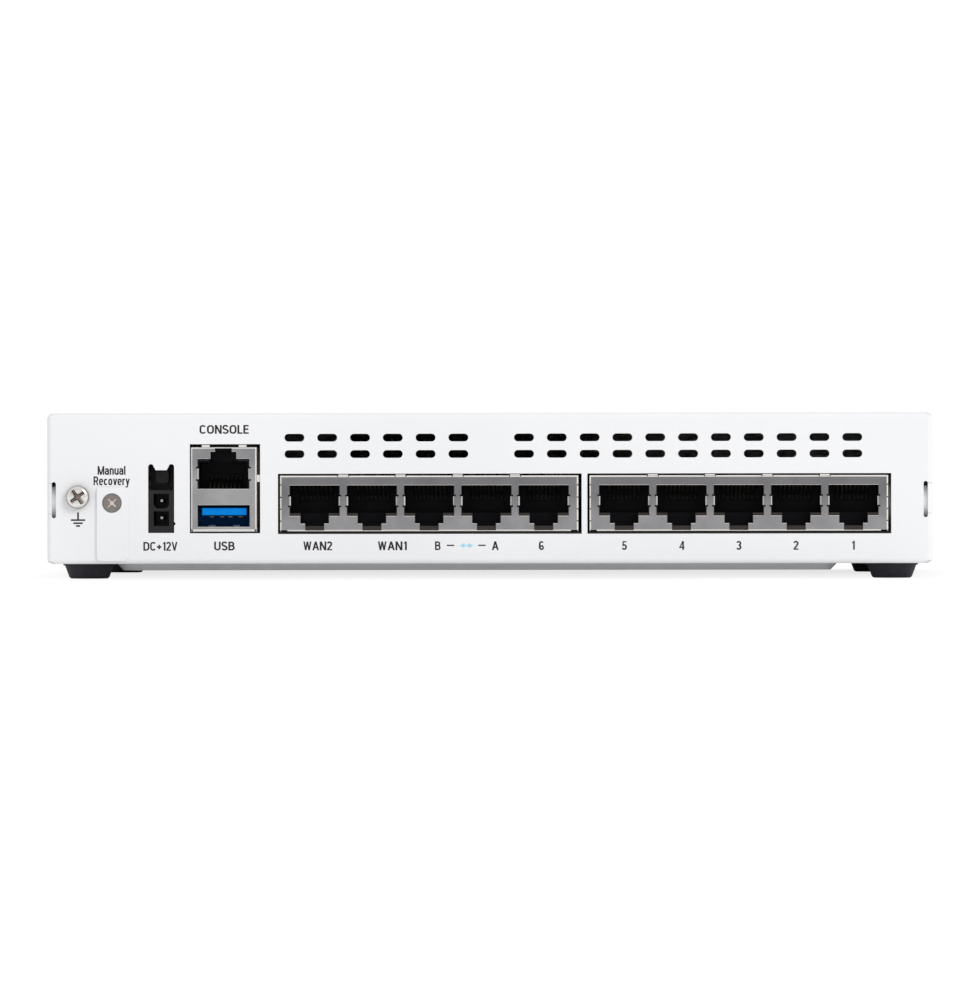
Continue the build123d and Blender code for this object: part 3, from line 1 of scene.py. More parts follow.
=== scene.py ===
"""Looks of the desktop firewall appliance: finishes of the CAD parts, printing, light and camera."""
import math

import bmesh
import bpy
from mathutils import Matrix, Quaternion, Vector
from mathutils.geometry import delaunay_2d_cdt


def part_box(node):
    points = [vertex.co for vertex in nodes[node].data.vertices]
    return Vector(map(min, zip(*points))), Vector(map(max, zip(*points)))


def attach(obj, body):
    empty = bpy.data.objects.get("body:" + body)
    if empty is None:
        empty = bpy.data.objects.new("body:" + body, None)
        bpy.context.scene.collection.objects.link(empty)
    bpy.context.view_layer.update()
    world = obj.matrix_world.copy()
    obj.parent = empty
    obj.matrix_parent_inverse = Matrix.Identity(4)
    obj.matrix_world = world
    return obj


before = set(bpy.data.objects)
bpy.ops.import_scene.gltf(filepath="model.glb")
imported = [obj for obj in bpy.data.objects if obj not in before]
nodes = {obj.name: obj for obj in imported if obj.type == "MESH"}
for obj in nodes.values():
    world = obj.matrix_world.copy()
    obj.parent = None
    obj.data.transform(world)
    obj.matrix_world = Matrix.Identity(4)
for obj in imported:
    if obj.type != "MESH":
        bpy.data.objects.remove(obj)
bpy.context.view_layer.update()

MM = 0.001
WHITE = (1.0, 1.0, 1.0, 1.0)


def add_node(tree, kind, **settings):
    node = tree.nodes.new(kind)
    for key, value in settings.items():
        setattr(node, key, value)
    return node


# ------------------------------------------------------------------------------------------------
# node building
# ------------------------------------------------------------------------------------------------
class Shader:
    """A material's node tree, with short calls for the nodes that the finishes share."""

    def __init__(self, name, roughness, metallic=0.0, specular=0.5):
        self.material = bpy.data.materials.new(name)
        self.material.use_nodes = True
        self.tree = self.material.node_tree
        self.bsdf = self.tree.nodes["Principled BSDF"]
        self.bsdf.inputs["Roughness"].default_value = roughness
        self.bsdf.inputs["Metallic"].default_value = metallic
        self.bsdf.inputs["Specular IOR Level"].default_value = specular
        self.place = self.add("ShaderNodeTexCoord").outputs["Object"]

    def add(self, kind, **settings):
        return add_node(self.tree, kind, **settings)

    def wire(self, source, target):
        self.tree.links.new(source, target)

    def put(self, socket, value):
        """Links a socket or sets a number."""
        if hasattr(value, "is_output"):
            self.wire(value, socket)
        else:
            socket.default_value = value

    def scaled(self, scale):
        """The place on the object, multiplied by a scale along each axis."""
        mapping = self.add("ShaderNodeMapping")
        mapping.inputs["Scale"].default_value = scale
        self.wire(self.place, mapping.inputs["Vector"])
        return mapping.outputs["Vector"]

    def noise(self, size, detail=3.0, roughness=0.55, stretch=(1, 1, 1)):
        """Noise whose largest features are `size` metres across."""
        scaled = self.scaled([s / size for s in stretch])
        noise = self.add("ShaderNodeTexNoise")
        noise.inputs["Scale"].default_value = 1.0
        noise.inputs["Detail"].default_value = detail
        noise.inputs["Roughness"].default_value = roughness
        self.wire(scaled, noise.inputs["Vector"])
        return noise.outputs["Fac"]

    def clouds(self, size, detail=3.0):
        """Soft patches about `size` metres across, 0 to 1."""
        return self.span(self.noise(size, detail), 0.35, 0.65)

    def axis(self, letter, vector=None):
        split = self.add("ShaderNodeSeparateXYZ")
        self.wire(vector or self.place, split.inputs["Vector"])
        return split.outputs[letter]

    def bends(self, flat, turned):
        """1 where the surface has turned away from facing along Y, 0 on what faces that way."""
        normal = self.add("ShaderNodeNewGeometry").outputs["Normal"]
        return self.span(self.math("ABSOLUTE", self.axis("Y", normal)), turned, flat, 1.0, 0.0)

    def math(self, operation, a, b=0.0):
        node = self.add("ShaderNodeMath", operation=operation)
        self.put(node.inputs[0], a)
        self.put(node.inputs[1], b)
        return node.outputs[0]

    def span(self, value, low, high, to_low=0.0, to_high=1.0):
        """Maps low..high to to_low..to_high, held at both ends."""
        node = self.add("ShaderNodeMapRange")
        self.put(node.inputs["Value"], value)
        node.inputs["From Min"].default_value = low
        node.inputs["From Max"].default_value = high
        node.inputs["To Min"].default_value = to_low
        node.inputs["To Max"].default_value = to_high
        return node.outputs["Result"]

    def mix(self, share, a, b):
        node = self.add("ShaderNodeMix", data_type="RGBA")
        self.put(node.inputs["Factor"], share)
        self.put(node.inputs["A"], a)
        self.put(node.inputs["B"], b)
        return node.outputs["Result"]

    def colour(self, value):
        self.put(self.bsdf.inputs["Base Color"], value)

    def rough(self, grain, smooth, dull):
        """Roughness from smooth to dull as the grain goes from low to high."""
        self.put(self.bsdf.inputs["Roughness"], self.span(grain, 0.3, 0.7, smooth, dull))

    def metal(self, value):
        self.put(self.bsdf.inputs["Metallic"], value)

    def bump(self, height, strength, distance):
        node = self.add("ShaderNodeBump")
        node.inputs["Strength"].default_value = strength
        node.inputs["Distance"].default_value = distance
        self.wire(height, node.inputs["Height"])
        self.wire(node.outputs["Normal"], self.bsdf.inputs["Normal"])


def grey(level, tint=0.0):
    """A neutral colour, cooler with a positive tint."""
    return (level * (1 - tint), level, level * (1 + tint), 1.0)


# ------------------------------------------------------------------------------------------------
# finishes
# ------------------------------------------------------------------------------------------------
def white_paint():
    """Satin powder coat: slight orange peel outside, bare zinc-coated steel inside the case."""
    s = Shader("white_paint", 0.45, specular=0.3)
    paint = s.mix(s.clouds(0.05, 2.0), (0.850, 0.855, 0.872, 1), (0.875, 0.880, 0.893, 1))
    # 1 at points between the case's walls, 0 on what shows
    inside_x = s.math("LESS_THAN", s.math("ABSOLUTE", s.axis("X")), WALL_INSIDE_X)
    inside_y = s.math("LESS_THAN", s.math("ABSOLUTE", s.axis("Y")), WALL_INSIDE_Y)
    below_top = s.math("LESS_THAN", s.axis("Z"), WALL_INSIDE_Z)
    inside = s.math("MULTIPLY", s.math("MULTIPLY", inside_x, inside_y), below_top)
    spangle = s.mix(s.span(s.noise(0.012, 1.0), 0.4, 0.6), grey(0.62), grey(0.74))
    s.colour(s.mix(inside, paint, spangle))
    peel = s.noise(0.0016, 2.0)
    s.rough(peel, 0.40, 0.52)
    s.bump(peel, 0.10, 0.00012)
    return s.material


def black_rubber():
    """Moulded rubber, matt and faintly blue, with a slightly dusty bloom."""
    s = Shader("black_rubber", 0.6, specular=0.25)
    bloom = s.span(s.noise(0.004, 4.0), 0.35, 0.7)
    s.colour(s.mix(bloom, (0.027, 0.027, 0.034, 1), (0.039, 0.039, 0.049, 1)))
    grain = s.noise(0.0006, 3.0)
    s.rough(grain, 0.52, 0.72)
    s.bump(grain, 0.25, 0.00008)
    return s.material


# painted shade: the dark of the cut-out on the tips of the earthing tabs
TAB_TIP_SHADE = (0.075, 0.068, 0.064, 1)


def tin_shield(name, low, high, z_low, z_high, edge, foot_z, tab_z, tab_x, tip_z):
    """Folded tin-plated sheet with a fine rolling grain.

    Its tone goes from low to high between the two heights, a painted reflection of the pale floor.
    The bends, what is under foot_z and the earthing tabs past tab_z or tab_x have the edge's tone, a painted
    highlight, and are less metallic. The tabs' tips above tip_z have a painted shade, the dark of the
    cut-out.
    """
    s = Shader(name, 0.38, metallic=1.0)
    # painted reflection of the pale floor: the tin is lighter where it is low
    plate = s.mix(s.span(s.axis("Z"), z_low, z_high), low, high)
    cloud = s.span(s.noise(0.006, 3.0), 0.3, 0.7, 0.88, 1.1)
    tone = s.add("ShaderNodeVectorMath", operation="SCALE")
    s.wire(plate, tone.inputs[0])
    s.wire(cloud, tone.inputs["Scale"])
    # painted highlight: the bends, the foot and the earthing tabs get the edge's pale tone and less metal
    tabs = s.math("MAXIMUM", s.math("GREATER_THAN", s.axis("Z"), tab_z),
                  s.math("GREATER_THAN", s.axis("X"), tab_x))
    ends = s.math("MAXIMUM", tabs, s.math("LESS_THAN", s.axis("Z"), foot_z))
    bright = s.math("MAXIMUM", s.bends(0.995, 0.95), ends)
    shaded = s.mix(bright, tone.outputs["Vector"], edge)
    # painted shade on the tabs' tips
    s.colour(s.mix(s.math("GREATER_THAN", s.axis("Z"), tip_z), shaded, TAB_TIP_SHADE))
    s.metal(s.span(bright, 0.0, 1.0, 1.0, 0.25))
    grain = s.noise(0.0009, 3.0, 0.6, stretch=(0.08, 1, 1))
    s.rough(grain, 0.32, 0.46)
    s.bump(grain, 0.08, 0.00005)
    return s.material


def recessed_screw(name, ring, recess, roughness, node, reach, sunk, rim, arm):
    """Plated screw, whose driver recess differs in tone from the ring around it.

    The recess lies within `reach` of the axis and `sunk` under the top. Its tones are a painted shade on the
    earth screw and a painted highlight on the plate screw. The edges around it follow a cross whose arms are
    `arm` wide, painted in the recess's second tone, and the head's rim is darker, a painted shade.
    """
    s = Shader(name, roughness, metallic=1.0)
    low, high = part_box(node)
    from_x = s.math("SUBTRACT", s.axis("X"), (low.x + high.x) / 2)
    from_z = s.math("SUBTRACT", s.axis("Z"), (low.z + high.z) / 2)
    square = s.math("ADD", s.math("MULTIPLY", from_x, from_x), s.math("MULTIPLY", from_z, from_z))
    radius = s.math("SQRT", square)
    within = s.math("LESS_THAN", radius, reach)
    depth = s.span(s.axis("Y"), low.y + sunk * 0.4, low.y + sunk)
    cloud = s.span(s.noise(0.0012, 3.0), 0.3, 0.7)
    outer = s.mix(cloud, ring[0], ring[1])
    # the recess is a cross that stands on its diagonals
    rising = s.math("ABSOLUTE", s.math("ADD", from_x, from_z))
    falling = s.math("ABSOLUTE", s.math("SUBTRACT", from_x, from_z))
    nearer = s.math("MINIMUM", rising, falling)
    # the cross's arms: painted shade on the earth screw, painted highlight on the plate screw
    cross = s.math("MULTIPLY", s.span(nearer, arm * 0.8, arm * 1.3, 1.0, 0.0), within)
    inner = s.mix(cloud, recess[0], recess[1])
    outer = s.mix(s.math("MULTIPLY", cross, s.span(cloud, 0.2, 0.8, 0.85, 0.25)), outer, recess[1])
    half = (high.x - low.x) / 2
    # painted shade on the head's rim
    outer = s.mix(s.span(radius, half * 0.86, half * 0.95), outer, rim)
    # the recess: painted shade on the earth screw, painted highlight on the plate screw
    s.colour(s.mix(s.math("MULTIPLY", within, depth), outer, inner))
    grain = s.noise(0.0005, 4.0, 0.65)
    s.rough(grain, roughness * 0.75, roughness * 1.3)
    s.bump(grain, 0.12, 0.00003)
    return s.material


def socket_plastic():
    """Black moulding of the sockets, greyer on the front edges that show in their mouths."""
    s = Shader("black_plastic", 0.5, specular=0.16)
    # painted shade: the moulding is darkened far below black plastic inside the sockets
    deep = s.mix(s.clouds(0.003, 4.0), (0.0020, 0.0021, 0.0048, 1), (0.0036, 0.0038, 0.0074, 1))
    front = s.math("LESS_THAN", s.axis("Y"), housing_lo.y + HAIR)
    low = s.span(s.axis("Z"), 17 * MM, 20 * MM, 1.0, 0.12)
    # painted light on the front edges that show in the mouths, strongest low down
    s.colour(s.mix(s.math("MULTIPLY", front, low), deep, (0.036, 0.029, 0.026, 1)))
    grain = s.noise(0.00035, 2.0)
    s.rough(grain, 0.44, 0.58)
    s.bump(grain, 0.15, 0.00003)
    return s.material


def moulded_plastic(name, dark, light, roughness=0.45, specular=0.4):
    """Moulded plastic, film or satin paint with a fine, even texture."""
    s = Shader(name, roughness, specular=specular)
    s.colour(s.mix(s.clouds(0.003, 4.0), dark, light))
    grain = s.noise(0.00035, 2.0)
    s.rough(grain, roughness - 0.06, roughness + 0.08)
    s.bump(grain, 0.15, 0.00003)
    return s.material


def usb_blue():
    """Blue moulding: bright on the tongue's tip, darkening to navy further in, a painted shade."""
    s = Shader("usb_blue", 0.4, specular=0.06)
    # painted shade: the blue darkens to navy deeper in the socket
    depth = s.span(s.axis("Y"), usb_lo.y + 1 * MM, usb_lo.y + 8 * MM)
    tip = s.mix(s.clouds(0.003), (0.000, 0.200, 0.66, 1), (0.001, 0.225, 0.72, 1))
    s.colour(s.mix(depth, tip, (0.0003, 0.075, 0.270, 1)))
    grain = s.noise(0.0004, 2.0)
    s.rough(grain, 0.36, 0.48)
    s.bump(grain, 0.12, 0.00003)
    return s.material


def contact_strip(name, dark, light):
    """Thinly gilt spring contact, darkened all over as a painted shade of the socket it lies back in."""
    s = Shader(name, 0.45, metallic=0.4)
    s.colour(s.mix(s.span(s.noise(0.002, 3.0), 0.3, 0.7), dark, light))
    grain = s.noise(0.0005, 3.0, 0.6)
    s.rough(grain, 0.38, 0.55)
    s.bump(grain, 0.1, 0.00002)
    return s.material


def plated_metal(name, dark, light, roughness):
    """Plated metal with faint clouding and fine scratches."""
    s = Shader(name, roughness, metallic=1.0)
    s.colour(s.mix(s.span(s.noise(0.0022, 3.0), 0.3, 0.7), dark, light))
    grain = s.noise(0.0008, 4.0, 0.65)
    s.rough(grain, roughness * 0.75, roughness * 1.3)
    s.bump(grain, 0.1, 0.00003)
    return s.material


TRACKS_PER_METRE = 300


def circuit_board():
    """Green solder mask with a net of copper tracks showing through, and bare brown edges."""
    s = Shader("circuit_board", 0.35, specular=0.5)
    tracks = s.add("ShaderNodeTexVoronoi", feature="DISTANCE_TO_EDGE")
    s.wire(s.scaled((TRACKS_PER_METRE,) * 3), tracks.inputs["Vector"])
    track = s.span(tracks.outputs["Distance"], 0.04, 0.08, 1.0, 0.0)
    mask = s.mix(track, (0.008, 0.07, 0.03, 1), (0.02, 0.14, 0.06, 1))
    normal = s.add("ShaderNodeNewGeometry").outputs["Normal"]
    flat = s.span(s.math("ABSOLUTE", s.axis("Z", normal)), 0.3, 0.7)
    s.colour(s.mix(flat, (0.030, 0.021, 0.013, 1), mask))
    s.bump(s.noise(0.0008), 0.1, 0.00003)
    return s.material


def anodised_fins():
    """Black anodised aluminium with drawn lines along the fins."""
    s = Shader("black_anodised", 0.45, metallic=0.6)
    lines = s.noise(0.0012, 3.0, 0.6, stretch=(1, 0.05, 1))
    s.colour(s.mix(s.span(lines, 0.35, 0.65), grey(0.018), grey(0.035)))
    s.bump(lines, 0.2, 0.00005)
    return s.material


def frosted_guide():
    """Frosted clear moulding of the light guides."""
    s = Shader("light_guide", 0.35, specular=0.5)
    s.colour(s.mix(s.clouds(0.002), (0.62, 0.65, 0.68, 1), (0.74, 0.77, 0.79, 1)))
    s.bsdf.inputs["Transmission Weight"].default_value = 0.35
    s.bump(s.noise(0.0004), 0.2, 0.00003)
    return s.material


def ink(name, rgb):
    """Screen-printed ink: nearly even, with the slight mottling of a printed edge."""
    s = Shader(name, 0.5, specular=0.3)
    pale = tuple(c * 1.25 + 0.002 for c in rgb)
    s.colour(s.mix(s.clouds(0.0006), (*rgb, 1), (*pale, 1)))
    s.bump(s.noise(0.0002), 0.1, 0.00001)
    return s.material


# ------------------------------------------------------------------------------------------------
# the finish of each CAD node, with the places it needs read off the frame
# ------------------------------------------------------------------------------------------------
rear_lo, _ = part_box("rear_panel")
_, front_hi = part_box("front_panel")
_, cover_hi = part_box("top_cover")
REAR_Y = rear_lo.y
FRONT_Y = front_hi.y
SHEET = 0.8 * MM                 # thickness of the case's walls
HAIR = 0.05 * MM                 # keeps a limit clear of the face it is meant for
BRIDGE_DEPTH = 3.2 * MM          # the cover's painted side bridges reach this far in from its walls
WALL_INSIDE_X = cover_hi.x - BRIDGE_DEPTH
WALL_INSIDE_Y = FRONT_Y - SHEET + HAIR
WALL_INSIDE_Z = cover_hi.z - SHEET + HAIR


def paint_nodes(material, *names):
    """Gives CAD nodes one finish all over."""
    for name in names:
        slots = nodes[name].data.materials
        slots.clear()
        slots.append(material)


gang_lo, gang_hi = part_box("rj45_shield_left")
stack_lo, stack_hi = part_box("stack_shield")
housing_lo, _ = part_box("rj45_housing_left")
usb_lo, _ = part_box("usb_tongue")
NOWHERE = 1.0                    # past every part, for tabs that a shield doesn't have
# low and high are the tones of a painted floor reflection, lighter low down; edge is a painted highlight
GANG_TIN = dict(
    low=(0.33, 0.325, 0.335, 1), high=(0.22, 0.215, 0.225, 1), edge=(0.90, 0.87, 0.82, 1),
    z_low=gang_lo.z + 3 * MM, z_high=gang_lo.z + 9 * MM, foot_z=gang_lo.z + 0.2 * MM,
    tab_z=gang_hi.z - 0.41 * MM, tab_x=NOWHERE, tip_z=gang_hi.z - 0.17 * MM)
STACK_TIN = dict(
    low=(0.395, 0.39, 0.395, 1), high=(0.30, 0.30, 0.31, 1), edge=(0.76, 0.74, 0.71, 1),
    z_low=stack_lo.z + 13 * MM, z_high=stack_lo.z + 17 * MM, foot_z=stack_lo.z + 0.62 * MM,
    tab_z=stack_hi.z - 0.7 * MM, tab_x=stack_hi.x - 0.8 * MM, tip_z=stack_hi.z - 0.12 * MM)
# ring and recess are each a pair of tones between which the metal clouds. The earth screw's dark recess and
# the rims are painted shade; the plate screw's pale recess is a painted highlight.
EARTH_SCREW = dict(
    ring=((0.80, 0.78, 0.75, 1), (0.90, 0.88, 0.85, 1)),
    recess=((0.14, 0.108, 0.092, 1), (0.40, 0.33, 0.295, 1)),
    roughness=0.16, reach=2.15 * MM, sunk=0.35 * MM, rim=(0.36, 0.325, 0.305, 1), arm=0.7 * MM)
PLATE_SCREW = dict(
    ring=((0.235, 0.22, 0.215, 1), (0.29, 0.27, 0.265, 1)),
    recess=((0.75, 0.66, 0.60, 1), (0.92, 0.85, 0.79, 1)),
    roughness=0.3, reach=1.4 * MM, sunk=0.12 * MM, rim=(0.20, 0.19, 0.185, 1), arm=0.30 * MM)

paint_nodes(white_paint(), "rear_panel", "front_panel", "top_cover", "switch_cover_plate")
# the tray's grey is its white paint darkened, a painted shade of the underside
paint_nodes(moulded_plastic("tray_grey_painted_shade", grey(0.69, 0.01), grey(0.72, 0.01), 0.46, 0.3), "base_tray")
paint_nodes(black_rubber(), "foot_rear_left", "foot_rear_right", "foot_front_left", "foot_front_right")
paint_nodes(tin_shield("gang_tin", **GANG_TIN), "rj45_shield_left", "rj45_shield_right")
paint_nodes(tin_shield("stack_tin", **STACK_TIN), "stack_shield")
paint_nodes(plated_metal("usb_tin", grey(0.42), grey(0.5), 0.35), "usb_shell")
paint_nodes(socket_plastic(), "rj45_housing_left", "rj45_housing_right", "console_housing")
paint_nodes(moulded_plastic("dc_plastic", (0.0085, 0.0085, 0.0095, 1), (0.0125, 0.0125, 0.014, 1), 0.4, 0.3),
            "dc_header")
paint_nodes(usb_blue(), "usb_tongue")
# the contacts' gilt tones are darkened, a painted shade
paint_nodes(contact_strip("jack_contact", (0.046, 0.042, 0.034, 1), (0.078, 0.072, 0.058, 1)),
            "rj45_contacts_left", "rj45_contacts_right", "console_contacts")
paint_nodes(contact_strip("usb_contact", (0.10, 0.085, 0.06, 1), (0.17, 0.14, 0.09, 1)), "usb_contacts")
paint_nodes(plated_metal("tin_pin", grey(0.36), grey(0.46), 0.3), "dc_pins")
paint_nodes(recessed_screw("nickel_screw", node="ground_screw", **EARTH_SCREW), "ground_screw")
paint_nodes(recessed_screw("plate_screw_zinc", node="switch_cover_screw", **PLATE_SCREW),
            "switch_cover_screw")
paint_nodes(plated_metal("nickel", (0.62, 0.60, 0.57, 1), (0.74, 0.72, 0.69, 1), 0.25), "ground_lock_washer")
paint_nodes(plated_metal("zinc_screw", (0.25, 0.235, 0.23, 1), (0.33, 0.31, 0.305, 1), 0.36),
            "cover_screws", "panel_screws")
paint_nodes(plated_metal("steel_nut", grey(0.42), grey(0.55), 0.35), "ground_nut", "switch_cover_nut",
            "cover_nuts", "panel_nuts", "standoffs", "board_screws", "heat_sink_screws")
paint_nodes(circuit_board(), "main_board")
paint_nodes(moulded_plastic("chip_black", grey(0.014), grey(0.024), 0.5), "processor", "memory_chips",
            "flash_chip", "switch_chip", "lan_transformers", "inductors")
paint_nodes(moulded_plastic("grey_pad", (0.28, 0.31, 0.35, 1), (0.34, 0.37, 0.41, 1), 0.8), "thermal_pad")
paint_nodes(anodised_fins(), "heat_sink")
paint_nodes(plated_metal("can_metal", grey(0.55), grey(0.68), 0.25), "capacitors")
paint_nodes(plated_metal("cell_steel", grey(0.5), grey(0.62), 0.22), "coin_cell")
paint_nodes(moulded_plastic("switch_plastic", grey(0.016), grey(0.026), 0.4), "coin_cell_holder",
            "mode_switch_body", "reset_switch_body")
paint_nodes(moulded_plastic("white_plastic", grey(0.66), grey(0.74), 0.35), "mode_switch_slider",
            "reset_plunger")
paint_nodes(moulded_plastic("led_body", (0.7, 0.68, 0.6, 1), (0.8, 0.78, 0.7, 1), 0.3), "status_leds")
paint_nodes(frosted_guide(), "light_guides")
paint_nodes(moulded_plastic("label_film", (0.84, 0.84, 0.83, 1), (0.88, 0.88, 0.87, 1), 0.45, 0.5),
            "underside_label")

# ------------------------------------------------------------------------------------------------
# printing
# ------------------------------------------------------------------------------------------------
INK_THICK = 0.015 * MM
PEN = 0.172               # stroke of the lettering, as a share of its cap height
HALF_PEN = PEN / 2
LOWER = 0.74              # height of the small letters
LETTER_GAP = 0.085
MITRE_LIMIT = 0.25        # keeps the corners of a sharp turn from running out
black_ink = ink("black_ink", (0.018, 0.014, 0.016))
blue_ink = ink("blue_ink", (0.33, 0.60, 0.80))


def arc(cx, cy, rx, ry, start, end, steps=9):
    """Points along an ellipse, angles in degrees."""
    angles = [math.radians(start + (end - start) * i / steps) for i in range(steps + 1)]
    return [(cx + rx * math.cos(a), cy + ry * math.sin(a)) for a in angles]


def stroke(points, closed=False):
    """Quads that cover a pen stroke along these points."""
    count = len(points)
    sides = []
    for i, (x, y) in enumerate(points):
        before = points[i - 1] if i or closed else points[i]
        after = points[(i + 1) % count] if i < count - 1 or closed else points[i]
        ways = []
        for (x0, y0), (x1, y1) in ((before, (x, y)), ((x, y), after)):
            length = math.hypot(x1 - x0, y1 - y0)
            if length > 1e-9:
                ways.append(((y0 - y1) / length, (x1 - x0) / length))
        nx, ny = sum(w[0] for w in ways) / len(ways), sum(w[1] for w in ways) / len(ways)
        reach = HALF_PEN / max(nx * nx + ny * ny, MITRE_LIMIT)
        sides.append(((x + nx * reach, y + ny * reach), (x - nx * reach, y - ny * reach)))
    last = count if closed else count - 1
    return [[sides[i][0], sides[i][1], sides[(i + 1) % count][1], sides[(i + 1) % count][0]]
            for i in range(last)]


def box(x0, y0, x1, y1):
    return [[(x0, y0), (x1, y0), (x1, y1), (x0, y1)]]


def slant(x_low, x_high, width, low=0.0, high=1.0):
    """A slanting limb with level ends; x_low and x_high are its left corners below and above."""
    return [[(x_low, low), (x_low + width, low), (x_high + width, high), (x_high, high)]]


def loop(width, height):
    """Centre line of a round letter, with straight sides where it is tall."""
    r = width / 2 - HALF_PEN
    upper = arc(width / 2, height - HALF_PEN - r, r, r, 0, 180)
    return upper + arc(width / 2, HALF_PEN + r, r, r, 180, 360)


def open_round(width, height, gap):
    """The same, open on the right by a gap in degrees above and below."""
    r = width / 2 - HALF_PEN
    upper = arc(width / 2, height - HALF_PEN - r, r, r, gap, 180)
    return upper + arc(width / 2, HALF_PEN + r, r, r, 180, 360 - gap)


def bowl(x0, cx, low, high):
    """A bowl that leaves a stem at x0, turns at cx and comes back."""
    r = (high - low) / 2
    return stroke([(x0, high)] + arc(cx, low + r, r * 0.86, r, 90, -90) + [(x0, low)])


def letter(name):
    """Outlines of one letter as overlapping polygons, and its width, for a cap height of 1."""
    p, h, x = PEN, HALF_PEN, LOWER
    top = 1 - h
    shapes = {
        "A": lambda: (slant(0, 0.25, p) + slant(0.5, 0.25, p) + box(0.13, 0.24, 0.52, 0.24 + p), 0.65),
        "B": lambda: (box(0, 0, p, 1) + bowl(h, 0.32, 0.53, top) + bowl(h, 0.34, h, 0.53), 0.61),
        "C": lambda: (stroke(open_round(0.62, 1, 28)), 0.61),
        "D": lambda: (box(0, 0, p, 1) + stroke([(h, top)] + arc(0.28, top - 0.27, 0.27, 0.27, 90, 0)
                      + arc(0.28, h + 0.27, 0.27, 0.27, 0, -90) + [(h, h)]), 0.625),
        "E": lambda: (box(0, 0, p, 1) + box(0, 0, 0.5, p) + box(0, 0.44, 0.47, 0.44 + p)
                      + box(0, 1 - p, 0.49, 1), 0.5),
        "H": lambda: (box(0, 0, p, 1) + box(0.46, 0, 0.46 + p, 1) + box(0, 0.44, 0.5, 0.44 + p), 0.61),
        "L": lambda: (box(0, 0, p, 1) + box(0, 0, 0.47, p), 0.47),
        "M": lambda: (box(0, 0, p, 1) + box(0.62, 0, 0.62 + p, 1) + slant(0.31, 0, p)
                      + slant(0.31, 0.62, p), 0.77),
        "N": lambda: (box(0, 0, p, 1) + box(0.47, 0, 0.47 + p, 1) + slant(0.44, 0, 0.18), 0.62),
        "O": lambda: (stroke(loop(0.66, 1), True), 0.66),
        "P": lambda: (box(0, 0, p, 1) + bowl(h, 0.32, 0.44, top), 0.58),
        "R": lambda: (box(0, 0, p, 1) + bowl(h, 0.32, 0.47, top) + slant(0.43, 0.26, 0.17, 0, 0.5), 0.61),
        "S": lambda: (stroke(arc(0.29, 0.73, 0.215, 0.205, 22, 270)
                             + arc(0.29, 0.28, 0.225, 0.205, 90, -160)), 0.58),
        "T": lambda: (box(0.22, 0, 0.22 + p, 1) + box(0, 1 - p, 0.59, 1), 0.59),
        "U": lambda: (stroke([(h, 1)] + arc(0.305, h + 0.23, 0.23, 0.23, 180, 360) + [(0.535, 1)]), 0.61),
        "V": lambda: (slant(0.22, 0, 0.16) + slant(0.22, 0.44, 0.16), 0.6),
        "W": lambda: (slant(0.155, 0, 0.15) + slant(0.155, 0.325, 0.15) + slant(0.495, 0.325, 0.15)
                      + slant(0.495, 0.65, 0.15), 0.8),
        "a": lambda: (stroke(arc(0.24, x - 0.23, 0.175, 0.155, 160, 0) + [(0.415, 0)])
                      + stroke([(0.415, 0.42)] + arc(0.235, 0.245, 0.16, 0.175, 90, 270)
                               + [(0.415, 0.14)]), 0.49),
        "c": lambda: (stroke(open_round(0.48, x, 35)), 0.47),
        "e": lambda: (stroke([(0.42, x / 2)] + arc(0.25, x - 0.25, 0.175, 0.175, 0, 180)
                             + arc(0.25, 0.25, 0.175, 0.175, 180, 320)) + box(0.1, 0.31, 0.46, 0.43), 0.5),
        "l": lambda: (box(0, 0, p, 1), p),
        "n": lambda: (box(0, 0, p, x)
                      + stroke(arc(0.24, x - 0.24, 0.165, 0.165, 180, 0) + [(0.405, 0)]), 0.48),
        "o": lambda: (stroke(loop(0.5, x), True), 0.5),
        "r": lambda: (box(0, 0, p, x) + stroke(arc(0.27, x - 0.27, 0.195, 0.195, 180, 80)), 0.33),
        "u": lambda: (box(0.33, 0, 0.33 + p, x)
                      + stroke([(h, x)] + arc(0.24, 0.24, 0.165, 0.165, 180, 360)), 0.48),
        "v": lambda: (slant(0.17, 0, p, 0, x) + slant(0.17, 0.34, p, 0, x), 0.49),
        "y": lambda: (slant(0.17, 0, p, 0, x) + slant(0.08, 0.34, p, -0.26, x)
                      + box(-0.02, -0.26, 0.16, -0.14), 0.49),
        "+": lambda: (box(0, 0.34, 0.5, 0.34 + p) + box(0.175, 0.16, 0.175 + p, 0.67), 0.5),
        "1": lambda: (box(0.17, 0, 0.17 + p, 1) + [[(0, 0.72), (0.2, 0.78), (0.2, 0.98), (0.1, 0.86)]], 0.32),
        "2": lambda: (stroke(arc(0.25, 0.72, 0.185, 0.205, 165, -20) + [(0.27, 0.38), (0.1, 0.13)])
                      + box(0, 0, 0.5, 0.14), 0.5),
        "3": lambda: (stroke(arc(0.24, 0.73, 0.175, 0.195, 160, -90))
                      + stroke(arc(0.24, 0.285, 0.19, 0.21, 90, -160)), 0.5),
        "4": lambda: (box(0.3, 0, 0.3 + p, 1) + box(0, 0.22, 0.53, 0.35)
                      + [[(0, 0.22), (0.14, 0.22), (0.38, 1), (0.3, 1)]], 0.53),
        "5": lambda: (box(0.08, 0.86, 0.46, 1) + slant(0.04, 0.08, 0.13, 0.44, 1)
                      + stroke(arc(0.24, 0.325, 0.185, 0.25, 140, -160)), 0.5),
        "6": lambda: (stroke(arc(0.25, 0.275, 0.18, 0.2, 0, 360))
                      + stroke(arc(0.25, 0.7, 0.18, 0.225, 35, 180) + [(0.07, 0.275)]), 0.5),
    }
    return shapes[name]()


